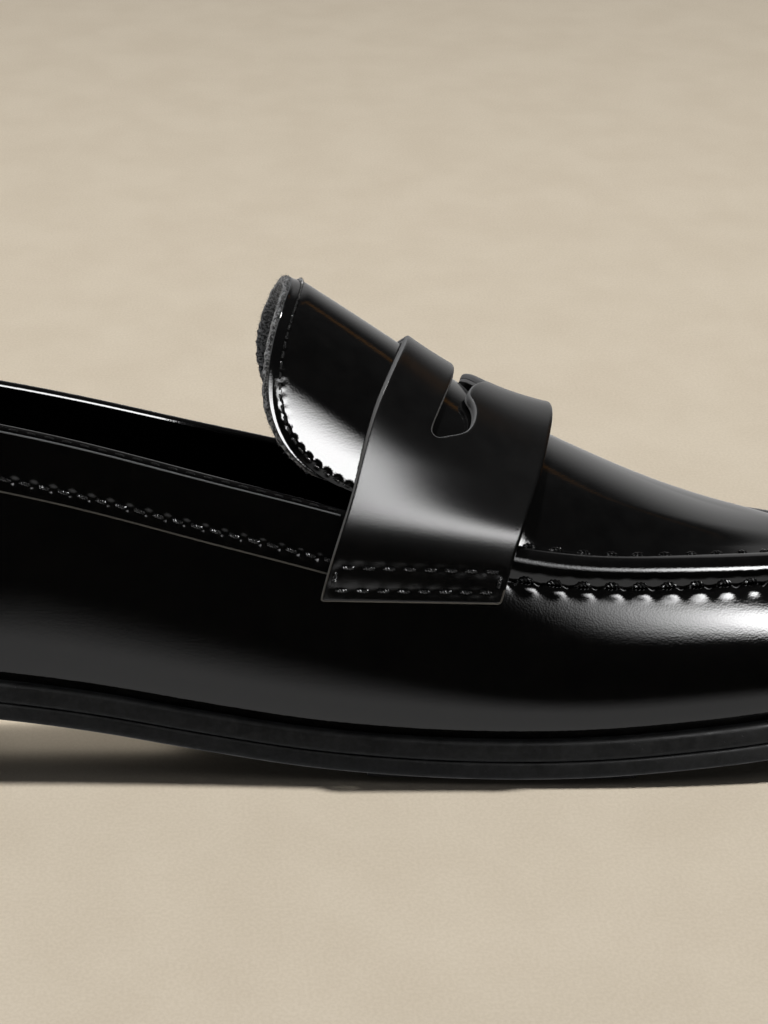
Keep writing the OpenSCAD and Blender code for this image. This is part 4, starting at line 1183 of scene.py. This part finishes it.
def strap_sheet(inset, top, bottom, r_top, dents=None):
    """One layer of the strap with its slot, as a closed sheet whose cut edges are rounded on top."""
    border, slot_in = resample(strap_border(inset), 0.6), pulled(slot_st, -inset)
    slot_in = resample(slot_in, 0.4)
    sets = [pulled(border, d) for d in RIM_STEPS] + [pulled(slot_in, -d) for d in RIM_STEPS]
    gs, gt = np.meshgrid(*(np.arange(1.6, size - 1.4, 0.8) for size in (mid_s[-1], STRAP_WIDE)),
                         indexing="ij")
    inner = np.stack([gs.ravel(), gt.ravel()], -1)
    inner = inner[loop_distance(inner, slot_in) > RIM_STEPS[-1] + 0.35]
    pts = np.concatenate(sets + [inner])
    edges, first = [], 0
    for line in sets:
        edges += [(first + i, first + (i + 1) % len(line)) for i in range(len(line))]
        first += len(line)
    out = delaunay_2d_cdt([Vector(p) for p in pts], edges, [], 0, 1e-5)
    flat = np.array([tuple(v) for v in out[0]])
    tris = np.array([f for f in out[2] if len(f) == 3])
    mid = flat[tris].mean(1)
    within = np.all((mid > inset) & (mid < np.array([mid_s[-1], STRAP_WIDE]) - inset), axis=1)
    tris = tris[within & ~inside_loop(mid, slot_in)]
    tris = tris[~corner_cut(flat[tris].mean(1), inset)]
    d = np.minimum(loop_distance(flat, border), loop_distance(flat, slot_in))
    d[d < 1e-3] = 0
    p, b = strap_pb(flat)
    base, n = strap(p, b), strap_out(p, b)
    off = top + rounded(d, r_top)
    if dents is not None:
        off = off + dents(base)
    upper, lower = base - n * off[:, None], base - n * bottom
    count = len(flat)
    sides = [(int(i), int(j)) for k in range(3) for i, j in zip(tris[:, k], tris[:, (k + 1) % 3])]
    shared = set(sides)
    walls = [[j, i, i + count, j + count] for i, j in sides if (j, i) not in shared]
    raw = (flat[:, 1] < 0.6 * STRAP_WIDE) | (flat[:, 0] < 3) | (flat[:, 0] > mid_s[-1] - 3)
    return (np.concatenate([upper, lower]), walls, np.concatenate([tris, tris[:, ::-1] + count]),
            smooth(CUT_R, 0.22, d) * raw)


def inside_loop(points, loop):
    """True for the flat points inside a closed loop."""
    a, b = loop, np.roll(loop, -1, 0)
    run, rise = (b - a).T
    y = points[:, 1:2]
    cross = (a[None, :, 1] > y) != (b[None, :, 1] > y)
    x = a[None, :, 0] + (y - a[None, :, 1]) * run / np.where(np.abs(rise) < 1e-9, 1e-9, rise)
    return (np.sum(cross & (points[:, 0:1] < x), axis=1) % 2).astype(bool)


def corner_cut(points, inset):
    """True outside the rounded corners of the strap's ends."""
    centre = np.array([mid_s[-1] / 2, STRAP_WIDE / 2])
    half = centre - inset - END_R
    q = np.abs(points - centre) - half
    return (q[:, 0] > 0) & (q[:, 1] > 0) & (np.hypot(q[:, 0], q[:, 1]) > END_R + 1e-3)


def strap_rows(side):
    """The stitched box at one end of the strap: two long rows and a short one at each side."""
    def at(p, b):
        p = p if side < 0 else 2 * CROWN - p
        return strap(p, b), strap_out(p, b)
    rows = []
    for p0 in (0.55, 1.5):
        rows.append(stitch_row(*at(np.full(200, p0), np.linspace(0.045, 0.955, 200)), 3.85, 0.28, 0.14))
    for b0 in (0.045, 0.955):
        rows.append(stitch_row(*at(np.linspace(0.6, 1.45, 50), np.full(50, b0)), 4.2, 0.25))
    return [np.concatenate([r[k] for r in rows]) for k in range(3)]


box_medial, box_lateral = strap_rows(-1), strap_rows(1)
box_holes = np.concatenate([box_medial[0], box_medial[1], box_lateral[0], box_lateral[1]])
box_mids = np.concatenate([(b[0] + b[1]) / 2 for b in (box_medial, box_lateral)])


def strap_dents(points):
    """Dimples of the stitch holes, and the slight sink of each stitch between them."""
    return 0.36 * near_holes(points, box_holes, 0.68, 2) + 0.08 * near_holes(points, box_mids, 1.0, 3)


strap_piece = piece("saddle_strap", *strap_sheet(0.0, 0.0, STRAP_T, 0.6, strap_dents), material=STRAP_SKIN,
                    slot="strap_leather", replaces=["strap"])
BACKING = STRAP_T + 0.03         # face of the backing below the strap's own face
piece("strap_backing_leather", *strap_sheet(0.05, BACKING, BACKING + STRAP_LINING_T, 0.12), material=SPLIT,
      slot="strap_split", replaces=["strap_lining"])
seam("strap_thread_medial", "strap_stitches_medial", box_medial, 0.42)
seam("strap_thread_lateral", "strap_stitches_lateral", box_lateral, 0.42)

# ---- floor, light, camera -------------------------------------------------
FLOOR_HALF = 3.0
me = bpy.data.meshes.new("floor")
me.from_pydata([(x * FLOOR_HALF, y * FLOOR_HALF, 0) for x, y in ((-1, -1), (1, -1), (1, 1), (-1, 1))], [],
               [(0, 1, 2, 3)])
floor = bpy.data.objects.new("floor", me)
bpy.context.scene.collection.objects.link(floor)
FLOOR, s = shader("floor_plaster", (0.62, 0.55, 0.44), 0.9, Specular_IOR_Level=0.05)
FLAT = (1, 0.35, 1)              # stretched in depth, so that the low view sees an even plaster
cloud = mottled(FLOOR, 45, 5, 0.25, 0.75, (0.597, 0.528, 0.43), (0.633, 0.565, 0.465), FLAT)
grit = mottled(FLOOR, 1500, 3, 0.3, 0.7, (0.93, 0.925, 0.91), (1.0, 1.0, 1.0), FLAT)
join(FLOOR, mixed(FLOOR, 1.0, cloud, grit, "MULTIPLY"), s.inputs["Base Color"])
bumps(FLOOR, s, [(noise(FLOOR, 1200, 4, FLAT), 0.00008), (noise(FLOOR, 90, 3, FLAT), 0.0001)])
me.materials.append(FLOOR)
floor.visible_glossy = False     # the polish mirrors the studio below, set in the world

TARGET = place([154.598, 0.0, 47.362])   # the point of the shoe at the middle of the picture
AZ, EL, DISTANCE = math.radians(-2.5), math.radians(10.7), 1.3
back = np.array([math.sin(AZ) * math.cos(EL), -math.cos(AZ) * math.cos(EL), math.sin(EL)])
cam = bpy.data.cameras.new("camera")
cam.sensor_fit, cam.sensor_height, cam.lens = "VERTICAL", 36, 226
cam.clip_start, cam.clip_end = 0.01, 50
camera = bpy.data.objects.new("camera", cam)
camera.location = TARGET + back * DISTANCE
camera.rotation_euler = Vector(-back).to_track_quat("-Z", "Y").to_euler()
bpy.context.scene.collection.objects.link(camera)
bpy.context.scene.camera = camera
bpy.context.scene.view_settings.view_transform = "Standard"


def lamp(name, az, el, distance, size, power, colour=(1, 1, 1), diffuse=True, size_y=None):
    """Area light seen from the shoe at azimuth az (0 front, + towards the heel) and elevation el."""
    li = bpy.data.lights.new(name, "AREA")
    li.energy, li.color, li.size = power, colour, size
    li.shape = "RECTANGLE" if size_y else "DISK"
    if size_y:
        li.size_y = size_y
    ob = bpy.data.objects.new(name, li)
    a, e = math.radians(az), math.radians(el)
    d = Vector((-math.sin(a) * math.cos(e), -math.cos(a) * math.cos(e), math.sin(e)))
    ob.location = Vector(TARGET) + d * distance
    ob.rotation_euler = d.to_track_quat("Z", "Y").to_euler()
    ob.visible_diffuse = diffuse
    bpy.context.scene.collection.objects.link(ob)
    return ob


def graded(ob, across, up):
    """Fade a rectangular lamp: across and up each say where it starts, is full, starts to fade, is out."""
    li = ob.data
    li.use_nodes = True
    out = li.node_tree.nodes["Emission"]
    geo = node(li, "ShaderNodeNewGeometry")
    uv = node(li, "ShaderNodeSeparateXYZ")
    join(li, geo.outputs["Parametric"], uv.inputs["Vector"])
    level = 1.0
    for k, (a, b, c, d) in enumerate((across, up)):
        for lo, hi, v0, v1 in ((a, b, 0, 1), (c, d, 1, 0)):
            level = calc(li, "MULTIPLY", level, spread(li, uv.outputs[k], lo, hi, v0, v1))
    join(li, level, out.inputs["Strength"])
    return ob


def lit(lamp_ob, pieces, only):
    """Light only these pieces, or all but these."""
    group = bpy.data.collections.new(lamp_ob.name + "_receivers")
    for i, ob in enumerate(pieces):
        group.objects.link(ob)
        if not only:
            group.collection_objects[i].light_linking.link_state = "EXCLUDE"
    lamp_ob.light_linking.receiver_collection = group


lamp("key", 180, 82, 3.0, 0.3, 89, (1.0, 0.98, 0.95))
softbox = graded(lamp("softbox", -32, 31.5, 2.0, 2.8, 290, diffuse=False, size_y=0.78),
                 (0.17, 0.74, 0.95, 1.0), (0.05, 0.48, 0.55, 0.98))
lit(softbox, [apron_piece, strap_piece], False)
tongue_card = graded(lamp("tongue_card", -9, 29, 2.0, 1.35, 185, diffuse=False, size_y=1.5),
                     (0.0, 0.12, 0.78, 0.95), (0.0, 0.14, 0.46, 0.98))
lit(tongue_card, [apron_piece, quarters[0]], True)
strap_card = graded(lamp("strap_card", -16, 40, 2.0, 1.3, 61, diffuse=False, size_y=0.9),
                    (0.0, 0.35, 0.7, 1.0), (0.0, 0.4, 0.6, 1.0))
lit(strap_card, [strap_piece], True)
lit(lamp("felt_fill", 75, 15, 2.0, 1.2, 24), [felt_piece, fibre_piece], True)

ARCH_TILT = math.radians(5)      # fall of the sole towards the toe, under the arch
for name, spot, length, width, power in (("arch_bounce", (88, 8, 7.3), 0.05, 0.032, 0.0017),
                                         ("arch_gap", (84, 24, 4.5), 0.054, 0.008, 0.0022)):
    glow = lamp(name, 0, 90, 0.1, length, power, (1.0, 0.96, 0.9), size_y=width)
    glow.location, glow.rotation_euler = Vector(place(spot)), (0, ARCH_TILT, 0)
    glow.visible_camera = glow.visible_glossy = False
    lit(glow, [floor], True)

# the studio around the shoe, by direction only: dark, with a pale backdrop behind and a grey floor in front
world = bpy.data.worlds.new("studio")
bpy.context.scene.world = world
world.use_nodes = True
bg = world.node_tree.nodes["Background"]
xyz = node(world, "ShaderNodeSeparateXYZ")
join(world, node(world, "ShaderNodeTexCoord").outputs["Generated"], xyz.inputs["Vector"])
x, y, z = (xyz.outputs[k] for k in range(3))
from_back = calc(world, "ABSOLUTE", calc(world, "ARCTAN2", x, y))
near_top = spread(world, z, 0.66, 0.82, 1, 0)
panel = calc(world, "MULTIPLY", spread(world, from_back, 0.28, 0.62, 0.45, 0.0), near_top)
ground = spread(world, z, -0.5, -0.17, 0.85, 0.0)
high = spread(world, z, 0.25, 0.7, 0.02, 0.055)
grey = calc(world, "ADD", calc(world, "MAXIMUM", panel, ground), high)
edge = calc(world, "MULTIPLY", spread(world, from_back, 0.64, 0.68, 0, 1),
            spread(world, from_back, 0.685, 0.735, 1, 0))
edge = calc(world, "MULTIPLY", edge, near_top)
DARK = (0, 0, 0)
room = mixed(world, grey, DARK, (1.0, 0.99, 0.98))
warm = mixed(world, edge, DARK, (0.32, 0.13, 0.01))
join(world, mixed(world, 1.0, room, warm, "ADD"), bg.inputs["Color"])
bg.inputs["Strength"].default_value = 1.0
